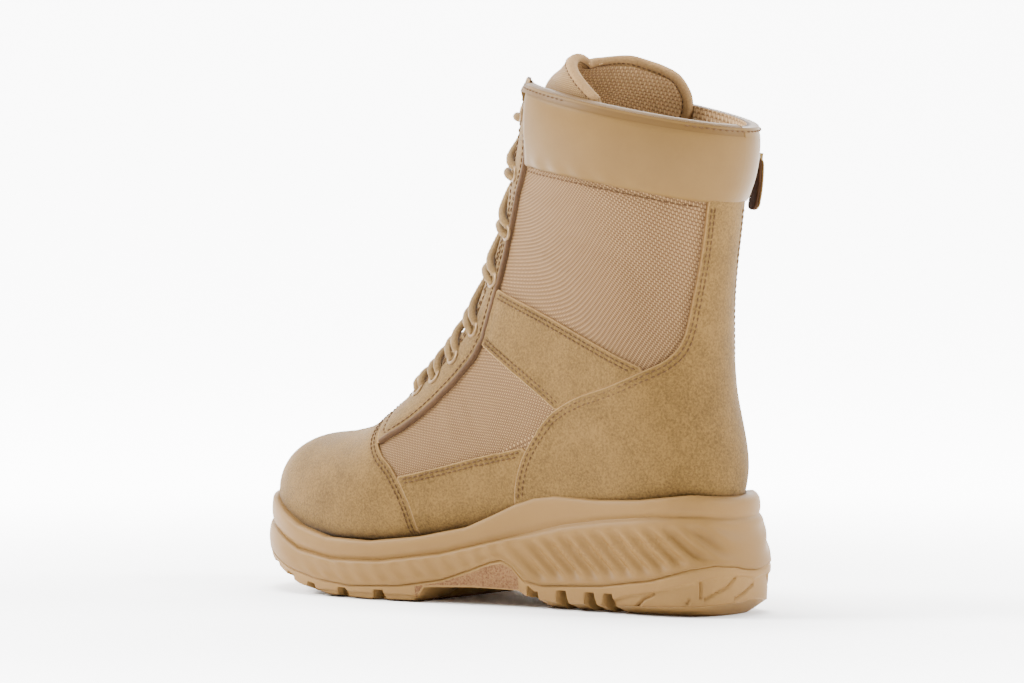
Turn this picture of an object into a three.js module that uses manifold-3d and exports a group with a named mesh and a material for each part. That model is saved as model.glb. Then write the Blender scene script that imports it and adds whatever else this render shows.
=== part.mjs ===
// Combat boot, left foot: an eight inch suede and nylon boot with a side zip, standing empty.
// Millimetres. +Z is up, the toe points to -Y and +X is the outer side of the foot.
// The origin is on the floor, at the middle of the heel's flat spot.

import * as THREE from 'three';
import Module from 'manifold-3d';

const wasm = await Module();
wasm.setup();

// Driving sizes
const SOLE_LENGTH = 303;
const BALL_WIDTH = 109;
const COLLAR_WIDTH = 91;
const SOLE_HEIGHT = 56;        // floor to the rim of the midsole at the heel
const SHAFT_HEIGHT = 206;      // rim of the midsole to the front of the collar
const UPPER_WALL = 2.2;
const SUEDE = 1.5;
const CLEARANCE = 0.3;
const INSOLE_THICKNESS = 4;
const LASTING_MARGIN = 11;     // turned in edge of the upper, under the insole
const SUEDE_TUCK = 6;          // depth of the suede panels behind the midsole's rim
const TONGUE_THICKNESS = 6;
const TONGUE_LEAN = 9;         // how far the tongue's top leans back from the throat
const COLLAR_PAD = 4.5;
const THROAT_WIDTH = 40;
const LUG_DEPTH = 5.5;
const LUG_GAP = 6.5;
const LUG_REACH = 19;
const RIB_PITCH = 11.5;
const RIB_DEPTH = 1.3;
const RIB_SLOPE = 0.69;
const RIB_REACH = 130;         // from the back of the heel, round the side
const EYELET_DIAMETER = 9;
const EYELET_HOLE = 5;
const EYELET_HEIGHT = 0.9;
const EYELET_SET_BACK = 6.5;   // throat edge to the middle of an eyelet
const LACE_DIAMETER = 4.2;
const LACE_SPREAD = 0.62;      // lace to the middle of its eyelet, as a share of its diameter
const ZIP_GUARD_WIDTH = 22;
const ZIP_END = 6;             // guard below the end of the tape
const ZIP_TAPE_WIDTH = 8.4;
const ZIP_TEETH_WIDTH = 5;
const ZIP_TEETH_HEIGHT = 0.8;
const SLIDER_LENGTH = 11;
const SLIDER_WIDTH = 8;
const SLIDER_THICKNESS = 2.6;
const SLIDER_HEIGHT = 1.805;   // where the slider stands on the zip, as a height on the shaft
const SLIDER_CLEARANCE = 0.5;
const BRIDGE_WIDTH = 2;
const BRIDGE_HEIGHT = 4;
const BRIDGE_LENGTH = 7;
const BRIDGE_POST = 1.4;
const BRIDGE_BAR = 1.2;
const PULL_LENGTH = 27;
const PULL_WIDTH = 9;
const PULL_THICKNESS = 2;
const PULL_BAR = 1.7;
const PULL_EYE = 6.8;          // length of the opening round the bridge's lower post
const PULL_CLEARANCE = 0.35;

// How finely the curved pieces are cut into facets
const FORM_STEPS = [
  0, 0.6, 1.3, 2.2, 3.2, 4.3, 5.2, 6, 6.8, 7.7, 8.6,
  9.5, 10.4, 11.4, 12.4, 13.4, 14.3, 15.05, 15.5, 16, 17,
];
const FORM_RING = 24;
const SOLE_POINTS = 46;

// Sections of the last's outer form, fanned from the toe tip, round the instep, to above the collar.
// Each lies in the plane through its top point and its low point. Along the foot (yTop, yLow) the
// lengths are shares of SOLE_LENGTH. Heights up to 1 are shares of SOLE_HEIGHT, and from 1 to 2
// they climb SHAFT_HEIGHT. Widths are shares of BALL_WIDTH, or of COLLAR_WIDTH on the shaft.
// waist says how far down the section is widest, nTop and nLow how square it is there.
const FOOT_SECTIONS = [
  // yTop, zTop, yLow, zLow, middle, lateral, medial, waist, nTop, nLow
  [-0.837, 0.893, -0.837, 0.786, -0.119, 0.014, 0.014, 0.50, 2.0, 2.0],
  [-0.828, 1.029, -0.828, 0.589, -0.119, 0.174, 0.142, 0.48, 2.2, 2.4],
  [-0.800, 1.078, -0.800, 0.482, -0.110, 0.298, 0.243, 0.52, 2.3, 3.0],
  [-0.749, 1.112, -0.749, 0.446, -0.092, 0.394, 0.317, 0.56, 2.4, 3.4],
  [-0.677, 1.126, -0.677, 0.429, -0.064, 0.450, 0.372, 0.60, 2.3, 3.8],
  [-0.601, 1.155, -0.587, 0.411, -0.028, 0.468, 0.413, 0.64, 2.1, 3.8],
  [-0.538, 1.218, -0.495, 0.429, 0.000, 0.450, 0.422, 0.68, 2.0, 3.6],
  [-0.482, 1.296, -0.396, 0.482, 0.018, 0.404, 0.376, 0.68, 1.9, 3.2],
  [-0.436, 1.379, -0.290, 0.554, 0.018, 0.367, 0.339, 0.66, 1.9, 3.0],
];
const SHAFT_SECTIONS = [
  // yTop, zTop, yLow, zLow, middle, lateral, medial, waist, nTop, nLow
  [-0.399, 1.471, -0.172, 0.607, 0.011, 0.418, 0.385, 0.62, 1.9, 3.0],
  [-0.373, 1.558, -0.053, 0.625, 0.000, 0.418, 0.385, 0.60, 2.0, 2.8],
  [-0.353, 1.641, 0.059, 0.714, 0.000, 0.418, 0.396, 0.60, 2.0, 2.5],
  [-0.340, 1.718, 0.109, 1.039, 0.000, 0.418, 0.396, 0.60, 2.0, 2.2],
  [-0.327, 1.796, 0.086, 1.238, 0.000, 0.429, 0.407, 0.58, 2.0, 2.1],
  [-0.310, 1.869, 0.083, 1.442, 0.000, 0.451, 0.429, 0.55, 2.0, 2.0],
  [-0.297, 1.937, 0.099, 1.665, 0.000, 0.484, 0.473, 0.53, 2.0, 2.0],
  [-0.287, 2.000, 0.119, 1.874, 0.000, 0.505, 0.495, 0.52, 2.0, 2.0],
  [-0.251, 2.107, 0.132, 1.990, 0.000, 0.473, 0.462, 0.52, 2.0, 2.0],
];
const COLLAR_SECTION = 16;

// Outline of the sole seen from above: y as a share of SOLE_LENGTH, x as a share of BALL_WIDTH
const SOLE_PLAN = [
  [0.149, 0.000], [0.135, 0.183], [0.092, 0.303], [0.017, 0.358], [-0.083, 0.367],
  [-0.198, 0.376], [-0.314, 0.422], [-0.429, 0.477], [-0.545, 0.505], [-0.653, 0.477],
  [-0.743, 0.394], [-0.812, 0.229], [-0.848, -0.018], [-0.851, -0.147], [-0.832, -0.303],
  [-0.779, -0.413], [-0.700, -0.468], [-0.594, -0.495], [-0.479, -0.459], [-0.347, -0.385],
  [-0.231, -0.339], [-0.099, -0.339], [0.017, -0.339], [0.092, -0.284], [0.135, -0.174],
];

// Lines round the side of the sole: y as a share of SOLE_LENGTH, height as a share of SOLE_HEIGHT
const RIM = [
  [0.149, 1.000], [0.083, 1.014], [0.000, 1.000], [-0.083, 0.982], [-0.165, 1.000],
  [-0.205, 0.973], [-0.241, 0.911], [-0.284, 0.804], [-0.333, 0.688], [-0.419, 0.589],
  [-0.518, 0.527], [-0.611, 0.536], [-0.686, 0.618], [-0.733, 0.714], [-0.792, 0.839],
  [-0.858, 0.946],
];
const GROOVE = [
  [0.149, 0.839], [0.099, 0.871], [0.026, 0.862], [-0.069, 0.814], [-0.149, 0.750],
  [-0.231, 0.643], [-0.376, 0.452], [-0.495, 0.361], [-0.594, 0.350], [-0.680, 0.411],
  [-0.756, 0.554], [-0.858, 0.714],
];
const SPLIT = [
  [0.149, 0.400], [0.142, 0.440], [0.125, 0.455], [0.092, 0.416], [0.030, 0.320],
  [-0.066, 0.245], [-0.185, 0.212], [-0.218, 0.248], [-0.241, 0.370], [-0.261, 0.418],
  [-0.281, 0.396], [-0.317, 0.321], [-0.370, 0.223], [-0.449, 0.152], [-0.551, 0.125],
  [-0.627, 0.161], [-0.703, 0.241], [-0.776, 0.375], [-0.858, 0.536],
];
const SKIRT = [
  [0.155, 0.214], [0.139, 0.125], [0.102, 0.100], [0.030, 0.089], [-0.066, 0.077],
  [-0.149, 0.070], [-0.208, 0.089], [-0.231, 0.154], [-0.300, 0.161], [-0.393, 0.125],
  [-0.429, 0.021], [-0.512, 0.014], [-0.601, 0.030], [-0.677, 0.095], [-0.733, 0.214],
  [-0.792, 0.321], [-0.858, 0.464],
];
const TREAD = [
  [0.175, 0.170], [0.155, 0.143], [0.125, 0.021], [0.109, 0.000], [-0.198, 0.000],
  [-0.211, 0.071], [-0.228, 0.143], [-0.314, 0.161], [-0.403, 0.143], [-0.419, 0.036],
  [-0.429, 0.000], [-0.620, 0.000], [-0.677, 0.046], [-0.733, 0.143], [-0.792, 0.259],
  [-0.880, 0.440],
];

// Seams of the upper seen from the side, as shares like those of the sections
const TOE_SEAM = [
  [-0.558, 1.262], [-0.541, 1.141], [-0.515, 1.087], [-0.485, 1.053], [-0.459, 1.005],
  [-0.439, 0.804], [-0.432, 0.589], [-0.429, 0.268],
];
const COUNTER_EDGE = [
  [-0.251, 0.357], [-0.244, 0.946], [-0.234, 1.058], [-0.215, 1.117], [-0.175, 1.189],
  [-0.122, 1.233], [-0.050, 1.267], [0.010, 1.306], [0.040, 1.335], [0.056, 1.379],
  [0.066, 1.471], [0.079, 1.587], [0.089, 1.690],
];
const BAND_TOP = [[-0.520, 1.018], [-0.472, 1.029], [-0.386, 1.058], [-0.307, 1.087], [-0.180, 1.125]];
const STRAP_TOP = [[-0.330, 1.500], [-0.314, 1.488], [-0.201, 1.434], [-0.089, 1.369], [0.050, 1.280]];
const STRAP_LOW = [[-0.350, 1.362], [-0.337, 1.354], [-0.257, 1.291], [-0.191, 1.233], [-0.130, 1.170]];
const STAY_REAR = [
  [-0.232, 2.020], [-0.234, 1.985], [-0.238, 1.874], [-0.248, 1.786], [-0.290, 1.655],
  [-0.314, 1.500], [-0.337, 1.354], [-0.370, 1.286], [-0.419, 1.214], [-0.465, 1.160],
  [-0.521, 1.112],
];
const COLLAR_SEAM = [[-0.264, 1.791], [-0.248, 1.786], [-0.099, 1.752], [0.007, 1.723], [0.083, 1.699], [0.198, 1.675]];
const COLLAR_TOP = [[-0.330, 2.010], [0.198, 1.850]];
const TONGUE_EDGE = [
  [-0.330, 2.000], [-0.250, 2.005], [-0.236, 2.028], [-0.214, 2.056], [-0.193, 2.070], [-0.170, 2.071],
  [-0.146, 2.053], [-0.117, 2.032], [-0.088, 2.004], [-0.068, 1.940], [-0.090, 1.860], [-0.165, 1.772],
  [-0.224, 1.626], [-0.281, 1.456],
  [-0.330, 1.311], [-0.422, 1.175], [-0.500, 1.100],
];
const ZIP_LINE = [[0.036, 1.960], [0.034, 1.883], [0.030, 1.699], [0.007, 1.456], [-0.020, 1.262], [-0.028, 1.210]];

// Half of the throat's opening at each section, as a share of THROAT_WIDTH
const THROAT = [
  [6.0, 0.10], [6.15, 0.26], [6.4, 0.38], [7.0, 0.48], [7.6, 0.50], [8.6, 0.47],
  [10.0, 0.38], [11.5, 0.34], [13.0, 0.35], [15.0, 0.39], [17.0, 0.43],
];
// Sections of the eight rows of eyelets
const EYELET_SECTIONS = [6.85, 7.5, 8.2, 9.0, 10.25, 11.6, 13.2, 14.9];

// Notches between the lugs, as shares of SOLE_LENGTH
const FORE_LUGS = [-0.472, -0.548, -0.624, -0.683, -0.736, -0.787];
const HEEL_LUGS = [-0.145, -0.090, -0.046];

// Insets from the widest outline, up the side of the sole: at the sides, the heel and the toe
const WALL_INSETS = {
  below: [14, 14, 14],
  ground: [12, 12, 12],
  skirt: [2, 1.5, 2.5],
  split: [0.9, 0.2, 1],
  belly: [0.6, 1.5, 0.8],
  shoulder: [1.8, 4.5, 1.6],
  groove: [4, 6.5, 3.2],
  band: [2.6, 6, 2],
  crown: [2.8, 6.6, 2.2],
  rim: [4.4, 9, 3.2],
  inside: [9, 13, 8],
};

const X_AXIS = new THREE.Vector3(1, 0, 0);
const Y_AXIS = new THREE.Vector3(0, 1, 0);
const Z_AXIS = new THREE.Vector3(0, 0, 1);

function rise(share) {
  if (share <= 1) return share * SOLE_HEIGHT;
  return SOLE_HEIGHT + (share - 1) * SHAFT_HEIGHT;
}

const sidePoint = ([y, up]) => new THREE.Vector2(y * SOLE_LENGTH, rise(up));
const mix = (a, b, t) => a + (b - a) * t;

function smoothStep(from, to, value) {
  const t = Math.min(1, Math.max(0, (value - from) / (to - from)));
  return t * t * (3 - 2 * t);
}

// Height of a side line at one place along the foot
function lineHeight(line, y) {
  const points = line.map(sidePoint);
  points.sort((p, q) => p.x - q.x);
  if (y <= points[0].x) return points[0].y;
  for (let i = 1; i < points.length; i += 1) {
    const p = points[i - 1];
    const q = points[i];
    if (y <= q.x) return mix(p.y, q.y, (y - p.x) / (q.x - p.x));
  }
  return points[points.length - 1].y;
}

// Solids made with manifold-3d from closed meshes

function solidFrom(vertices, triangles) {
  const vertProperties = new Float32Array(vertices.flatMap((p) => [p.x, p.y, p.z]));
  let volume = 0;
  for (const [a, b, c] of triangles) {
    volume += vertices[a].dot(new THREE.Vector3().crossVectors(vertices[b], vertices[c]));
  }
  const outward = volume > 0 ? triangles : triangles.map(([a, b, c]) => [a, c, b]);
  const triVerts = new Uint32Array(outward.flat());
  return new wasm.Manifold(new wasm.Mesh({ numProp: 3, vertProperties, triVerts }));
}

// A closed body through rings of equally many points, capped at both ends
function loft(rings) {
  const count = rings[0].length;
  const vertices = rings.flat();
  const triangles = [];
  for (let i = 0; i + 1 < rings.length; i += 1) {
    for (let j = 0; j < count; j += 1) {
      const next = (j + 1) % count;
      const a = i * count + j;
      const b = i * count + next;
      triangles.push([a, b, b + count], [a, b + count, a + count]);
    }
  }
  for (const [ring, flip] of [[0, true], [rings.length - 1, false]]) {
    const middle = new THREE.Vector3();
    for (const point of rings[ring]) middle.addScaledVector(point, 1 / count);
    vertices.push(middle);
    for (let j = 0; j < count; j += 1) {
      const a = ring * count + j;
      const b = ring * count + (j + 1) % count;
      triangles.push(flip ? [b, a, vertices.length - 1] : [a, b, vertices.length - 1]);
    }
  }
  return solidFrom(vertices, triangles);
}

// A flat outline swept from one point of space to another along a depth axis
function prism(outline, across, up, depthAxis, from, to) {
  const corners = THREE.ShapeUtils.isClockWise(outline) ? [...outline].reverse() : outline;
  const faces = THREE.ShapeUtils.triangulateShape(corners, []);
  const count = corners.length;
  const vertices = [];
  for (const depth of [from, to]) {
    for (const corner of corners) {
      const point = new THREE.Vector3().addScaledVector(across, corner.x);
      vertices.push(point.addScaledVector(up, corner.y).addScaledVector(depthAxis, depth));
    }
  }
  const triangles = [];
  for (const [a, b, c] of faces) triangles.push([a, c, b], [a + count, b + count, c + count]);
  for (let j = 0; j < count; j += 1) {
    const next = (j + 1) % count;
    triangles.push([j, next, next + count], [j, next + count, j + count]);
  }
  return solidFrom(vertices, triangles);
}

const sidePrism = (outline, fromX, toX) => prism(outline, Y_AXIS, Z_AXIS, X_AXIS, fromX, toX);

function smoothLine(line, divisions) {
  const points = line.map(sidePoint);
  return new THREE.SplineCurve(points).getPoints(divisions * (points.length - 1));
}

// The same line pushed sideways, to its left as it runs, by a distance
function pushed(points, distance) {
  return points.map((point, i) => {
    const before = points[Math.max(i - 1, 0)];
    const after = points[Math.min(i + 1, points.length - 1)];
    const along = after.clone().sub(before).normalize();
    return new THREE.Vector2(point.x - along.y * distance, point.y + along.x * distance);
  });
}

// The last's outer form

const SECTIONS = [
  ...FOOT_SECTIONS.map((row) => ({ row, width: BALL_WIDTH })),
  ...SHAFT_SECTIONS.map((row) => ({ row, width: COLLAR_WIDTH })),
].map(({ row, width }) => {
  const [yTop, zTop, yLow, zLow, middle, lateral, medial, waist, nTop, nLow] = row;
  return [
    yTop * SOLE_LENGTH, rise(zTop), yLow * SOLE_LENGTH, rise(zLow),
    middle * width, lateral * width, medial * width, waist, nTop, nLow,
  ];
});

function sectionAt(s) {
  const last = SECTIONS.length - 1;
  const i = Math.min(Math.floor(s), last - 1);
  const t = s - i;
  const [p, q, r, v] = [-1, 0, 1, 2].map((k) => SECTIONS[Math.min(Math.max(i + k, 0), last)]);
  return q.map((value, k) => 0.5 * (2 * value + (r[k] - p[k]) * t
    + (2 * p[k] - 5 * value + 4 * r[k] - v[k]) * t * t
    + (3 * value - p[k] - 3 * r[k] + v[k]) * t * t * t));
}

// A point of the form: angle 0 is the top or front, 90 degrees the lateral side
function formPoint(s, angle) {
  const [yTop, zTop, yLow, zLow, middle, lateral, medial, waist, nTop, nLow] = sectionAt(s);
  const c = Math.cos(angle);
  const sine = Math.sin(angle);
  const power = 2 / (c >= 0 ? nTop : nLow);
  const reach = Math.abs(c) ** power;
  const along = c >= 0 ? waist * (1 - reach) : waist + (1 - waist) * reach;
  const half = (sine >= 0 ? lateral : -medial) * Math.abs(sine) ** power;
  return new THREE.Vector3(middle + half, mix(yTop, yLow, along), mix(zTop, zLow, along));
}

function formNormal(s, angle) {
  const step = 0.02;
  const low = Math.max(s - step, 0);
  const high = Math.min(s + step, SECTIONS.length - 1);
  if (s < step) return Y_AXIS.clone().negate();
  const across = formPoint(s, angle + step).sub(formPoint(s, angle - step));
  const up = formPoint(high, angle).sub(formPoint(low, angle));
  return across.cross(up).normalize();
}

function offsetPoint(s, angle, offset) {
  const point = formPoint(s, angle);
  const lift = typeof offset === 'function' ? offset(point) : offset;
  return point.addScaledVector(formNormal(s, angle), lift);
}

const formCache = new Map();

// The whole form as a closed body, its skin moved out by the offset
function form(offset) {
  if (formCache.has(offset)) return formCache.get(offset);
  const rings = [];
  for (const s of FORM_STEPS) {
    const ring = [];
    for (let j = 0; j < FORM_RING; j += 1) {
      ring.push(offsetPoint(s, (j * 2 * Math.PI) / FORM_RING, offset));
    }
    rings.push(ring);
  }
  const body = loft(rings);
  formCache.set(offset, body);
  return body;
}

// Section and angle of the form's point nearest to a place seen from the side
function findOnForm(y, z, side) {
  let best = { s: COLLAR_SECTION / 2, angle: Math.PI / 2, miss: Infinity };
  let reach = COLLAR_SECTION / 2;
  let spread = Math.PI / 2;
  for (let round = 0; round < 12; round += 1) {
    const { s: s0, angle: a0 } = best;
    for (let i = -10; i <= 10; i += 1) {
      for (let j = -10; j <= 10; j += 1) {
        const s = Math.min(Math.max(s0 + (i * reach) / 10, 0.1), SECTIONS.length - 1);
        const angle = Math.min(Math.max(a0 + (j * spread) / 10, 0), Math.PI);
        const point = formPoint(s, side * angle);
        const miss = Math.hypot(point.y - y, point.z - z);
        if (miss < best.miss) best = { s, angle, miss };
      }
    }
    reach *= 0.5;
    spread *= 0.5;
  }
  return { s: best.s, angle: side * best.angle };
}

// Offsets of the layers: 0 is the outside of the suede
const SKIN = -SUEDE - CLEARANCE;
const LINING = SKIN - UPPER_WALL;
const INNER = LINING - CLEARANCE;

const FAR = SOLE_LENGTH * 1.4;
const corner = (y, z) => new THREE.Vector2(y, z);
const aboveLine = (points) => [...points, corner(points[points.length - 1].x, FAR), corner(points[0].x, FAR)];
const belowLine = (points) => [...points, corner(points[points.length - 1].x, -FAR), corner(points[0].x, -FAR)];

const collarTop = COLLAR_TOP.map(sidePoint);
const collarSeam = smoothLine(COLLAR_SEAM, 1);
const overCollar = sidePrism(aboveLine([corner(-FAR, collarTop[0].y), ...collarTop]), -FAR, FAR);

// Sole

const planCurve = new THREE.CatmullRomCurve3(
  SOLE_PLAN.map(([y, x]) => new THREE.Vector3(x * BALL_WIDTH, y * SOLE_LENGTH, 0)),
  true,
  'centripetal',
);

const heelEnd = SOLE_PLAN[0][0] * SOLE_LENGTH;
const toeEnd = SOLE_PLAN[13][0] * SOLE_LENGTH;

// A point on the sole's side: u runs once round from the back of the heel, past the lateral side
function solePoint(u, insets, height) {
  const wrapped = ((u % 1) + 1) % 1;
  const point = planCurve.getPointAt(wrapped);
  const along = planCurve.getTangentAt(wrapped);
  const [side, heel, toe] = insets;
  const heelness = smoothStep(heelEnd - 0.1 * SOLE_LENGTH, heelEnd, point.y);
  const toeness = smoothStep(toeEnd + 0.12 * SOLE_LENGTH, toeEnd, point.y);
  const inset = side + (heel - side) * heelness + (toe - side) * toeness;
  const z = height(point.y);
  return new THREE.Vector3(point.x + along.y * inset, point.y - along.x * inset, z);
}

function soleRing(insets, height, count = SOLE_POINTS) {
  return Array.from({ length: count }, (_, j) => solePoint(j / count, insets, height));
}

const at = (line, raise = 0) => (y) => lineHeight(line, y) + raise;
const between = (low, high, t) => (y) => mix(lineHeight(low, y), lineHeight(high, y), t);

// The sole's side as one block, from below the floor to inside the upper
const soleBlock = loft([
  soleRing(WALL_INSETS.below, () => -0.5 * SOLE_HEIGHT),
  soleRing(WALL_INSETS.ground, at(TREAD, -0.1 * SOLE_HEIGHT)),
  soleRing(WALL_INSETS.skirt, at(SKIRT)),
  soleRing(WALL_INSETS.split, at(SPLIT)),
  soleRing(WALL_INSETS.belly, between(SPLIT, GROOVE, 0.4)),
  soleRing(WALL_INSETS.shoulder, between(SPLIT, GROOVE, 0.87)),
  soleRing(WALL_INSETS.groove, at(GROOVE)),
  soleRing(WALL_INSETS.band, between(GROOVE, RIM, 0.3)),
  soleRing(WALL_INSETS.crown, between(GROOVE, RIM, 0.8)),
  soleRing(WALL_INSETS.rim, at(RIM)),
  soleRing(WALL_INSETS.inside, at(RIM, 0.01 * SOLE_HEIGHT)),
]);

const splitLine = [...SPLIT].reverse().map(sidePoint);
splitLine[0].x = -FAR;
splitLine[splitLine.length - 1].x = FAR;
const treadLine = [...TREAD].reverse().map(sidePoint);
treadLine[0].x = -FAR;
treadLine[treadLine.length - 1].x = FAR;

const halfGap = CLEARANCE / 2;
const raised = (points, z) => points.map((point) => corner(point.x, point.y + z));

// One diagonal groove on the side of the midsole, a distance round its wall from the back of the heel
function ribGroove(distance, side) {
  const length = planCurve.getLength();
  const wrap = (reach) => (side > 0 ? reach : length - reach) / length;
  const steps = 2;
  const centre = solePoint(wrap(distance), WALL_INSETS.belly, () => 0).y;
  const low = lineHeight(SPLIT, centre) + 0.07 * SOLE_HEIGHT;
  const high = lineHeight(GROOVE, centre) - 0.08 * SOLE_HEIGHT;
  const rings = [];
  for (let i = 0; i <= steps; i += 1) {
    const z = mix(low, high, i / steps);
    const reach = Math.max(distance + (z - mix(low, high, 0.5)) / RIB_SLOPE, 0);
    const place = solePoint(wrap(reach), WALL_INSETS.belly, () => 0).y;
    const t = (z - lineHeight(SPLIT, place)) / (lineHeight(GROOVE, place) - lineHeight(SPLIT, place));
    const wall = WALL_INSETS.belly.map((inset, k) => (t < 0.4
      ? mix(WALL_INSETS.split[k], inset, t / 0.4)
      : mix(inset, WALL_INSETS.shoulder[k], (t - 0.4) / 0.47)));
    const depth = i === 1 ? RIB_DEPTH : -0.2 * RIB_DEPTH;
    const edge = (shift) => solePoint(wrap(reach + shift), wall.map((inset) => inset - 3 * RIB_DEPTH), () => z);
    const bottom = solePoint(wrap(reach), wall.map((inset) => inset + depth), () => z);
    rings.push([edge(-0.7 * RIB_PITCH), edge(0.7 * RIB_PITCH), bottom]);
  }
  return loft(rings);
}

// Where on the outline a place along the foot lies, on one side
function soleParameter(y, side) {
  let low = side > 0 ? 0 : 0.5;
  let high = side > 0 ? 0.5 : 1;
  for (let i = 0; i < 30; i += 1) {
    const middle = (low + high) / 2;
    const behind = planCurve.getPointAt(middle).y > y;
    if (behind === (side > 0)) low = middle;
    else high = middle;
  }
  return (low + high) / 2;
}

// One notch between two lugs: a trapezoid cut in from the side
function lugNotch(yShare, side) {
  const y = yShare * SOLE_LENGTH;
  const edge = planCurve.getPointAt(soleParameter(y, side)).x;
  const floor = lineHeight(TREAD, y);
  const half = LUG_GAP / 2;
  const outline = [
    corner(y - half, floor - LUG_DEPTH), corner(y + half, floor - LUG_DEPTH),
    corner(y + half, floor), corner(y + half * 0.6, floor + LUG_DEPTH),
    corner(y - half * 0.6, floor + LUG_DEPTH), corner(y - half, floor),
  ];
  const inner = edge - side * LUG_REACH;
  const outer = edge + side * LUG_GAP;
  return sidePrism(outline, Math.min(inner, outer), Math.max(inner, outer));
}

// A shallow channel down the middle of the forefoot, between the two rows of lugs
function treadChannel() {
  const from = (FORE_LUGS[0] + 0.02) * SOLE_LENGTH;
  const to = (FORE_LUGS[4] + 0.01) * SOLE_LENGTH;
  const middle = (SECTIONS[5][4] + SECTIONS[3][4]) / 2;
  const rings = [];
  for (const [y, half] of [[from, 0.5], [mix(from, to, 0.3), 1], [mix(from, to, 0.7), 1], [to, 0.5]]) {
    const width = half * 0.09 * BALL_WIDTH;
    const top = lineHeight(TREAD, y) + 0.6 * LUG_DEPTH;
    rings.push([
      new THREE.Vector3(middle - width, y, -LUG_DEPTH), new THREE.Vector3(middle + width, y, -LUG_DEPTH),
      new THREE.Vector3(middle + width * 0.7, y, top), new THREE.Vector3(middle - width * 0.7, y, top),
    ]);
  }
  return loft(rings);
}

function buildOutsole() {
  let outsole = soleBlock
    .intersect(sidePrism(belowLine(raised(splitLine, -halfGap)), -FAR, FAR))
    .subtract(sidePrism(belowLine(treadLine), -FAR, FAR));
  for (const side of [1, -1]) {
    for (const y of [...FORE_LUGS, ...HEEL_LUGS]) outsole = outsole.subtract(lugNotch(y, side));
  }
  return outsole.subtract(treadChannel());
}

function buildMidsole() {
  const tuck = sidePrism(aboveLine([corner(-FAR, rise(RIM[RIM.length - 1][1]) - SUEDE_TUCK - CLEARANCE),
    ...raised([...RIM].reverse().map(sidePoint), -SUEDE_TUCK - CLEARANCE),
    corner(FAR, rise(RIM[0][1]) - SUEDE_TUCK - CLEARANCE)]), -FAR, FAR);
  let midsole = soleBlock
    .intersect(sidePrism(aboveLine(raised(splitLine, halfGap)), -FAR, FAR))
    .subtract(form(-SUEDE))
    .subtract(form(CLEARANCE).intersect(tuck));
  for (const side of [1, -1]) {
    for (let reach = 1.9 * RIB_PITCH; reach < RIB_REACH; reach += RIB_PITCH) {
      midsole = midsole.subtract(ribGroove(reach, side));
    }
  }
  return midsole;
}

// Upper, insole and tongue

function throatCutter() {
  const rings = THROAT.map(([s, share]) => {
    const ridge = formPoint(s, 0);
    const out = formNormal(s, 0);
    const half = share * THROAT_WIDTH;
    const inward = ridge.clone().addScaledVector(out, -0.55 * THROAT_WIDTH);
    const outward = ridge.clone().addScaledVector(out, 0.4 * THROAT_WIDTH);
    const sideways = X_AXIS.clone().multiplyScalar(half);
    return [
      inward.clone().sub(sideways), inward.clone().add(sideways),
      outward.clone().add(sideways), outward.clone().sub(sideways),
    ];
  });
  const end = rings[rings.length - 1].map((point) => point.clone().addScaledVector(Z_AXIS, 0.1 * SHAFT_HEIGHT));
  return loft([...rings, end]);
}

const throat = throatCutter();

// Line of the footbed, along the low points of the sections
const seatRows = SECTIONS.slice(1, 12).map((row) => corner(row[2], row[3]));

function buildUpper() {
  const opening = UPPER_WALL + SUEDE + LASTING_MARGIN + 0.07 * BALL_WIDTH;
  const insets = [opening, opening + 3, opening + 2];
  const points = SOLE_POINTS / 2;
  const under = loft([soleRing(insets, () => -LUG_DEPTH, points), soleRing(insets, at(RIM), points)]);
  return form(SKIN).subtract(form(LINING)).subtract(overCollar).subtract(throat).subtract(under);
}

function buildInsole() {
  const bed = raised(seatRows, -INNER + INSOLE_THICKNESS);
  const ends = [corner(-FAR, bed[0].y), ...bed, corner(FAR, bed[bed.length - 1].y)];
  return form(INNER).intersect(sidePrism(belowLine(ends), -FAR, FAR));
}

// The tongue's outside, which leaves the throat towards its top
function tongueLift(point) {
  const high = smoothStep(rise(1.78), rise(2.05), point.z);
  const front = smoothStep(-0.1 * SOLE_LENGTH, -0.24 * SOLE_LENGTH, point.y);
  return INNER - TONGUE_LEAN * high * front;
}

function buildTongue() {
  const edge = smoothLine(TONGUE_EDGE, 1);
  const end = edge[edge.length - 1];
  const side = sidePrism([...edge, corner(-FAR, end.y), corner(-FAR, edge[0].y)], -FAR, FAR);
  return form(tongueLift).subtract(form((point) => tongueLift(point) - TONGUE_THICKNESS)).intersect(side);
}

// Suede panels, each cut from the shell between two forms

const suedeShell = form(0).subtract(form(-SUEDE));
const counterEdge = smoothLine(COUNTER_EDGE, 1);
const stayRear = smoothLine(STAY_REAR, 1);
const toeSeam = smoothLine(TOE_SEAM, 1);
const tuckLine = raised([...RIM].reverse().map(sidePoint), -SUEDE_TUCK);
const overTuck = sidePrism(
  aboveLine([corner(-FAR, tuckLine[0].y), ...tuckLine, corner(FAR, tuckLine[tuckLine.length - 1].y)]),
  -FAR, FAR,
);

// What lies behind a seam that runs up or down the side, and what lies in front of it
function besideLine(points, far) {
  const last = points[points.length - 1];
  const end = last.y > points[0].y ? FAR : -FAR;
  return [corner(points[0].x, -end), ...points, corner(last.x, end), corner(far, end), corner(far, -end)];
}
const behind = (points) => besideLine(points, FAR);
const before = (points) => besideLine(points, -FAR);

// The zip's strip on the medial side, seen from the side, half a width either way
function zipStrip(half, lengthen) {
  const line = smoothLine(ZIP_LINE, 1);
  const tail = line[line.length - 1].clone().sub(line[line.length - 2]).normalize();
  line[line.length - 1].addScaledVector(tail, lengthen);
  return sidePrism([...pushed(line, half), ...pushed(line, -half).reverse()], -FAR, 0);
}

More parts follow.
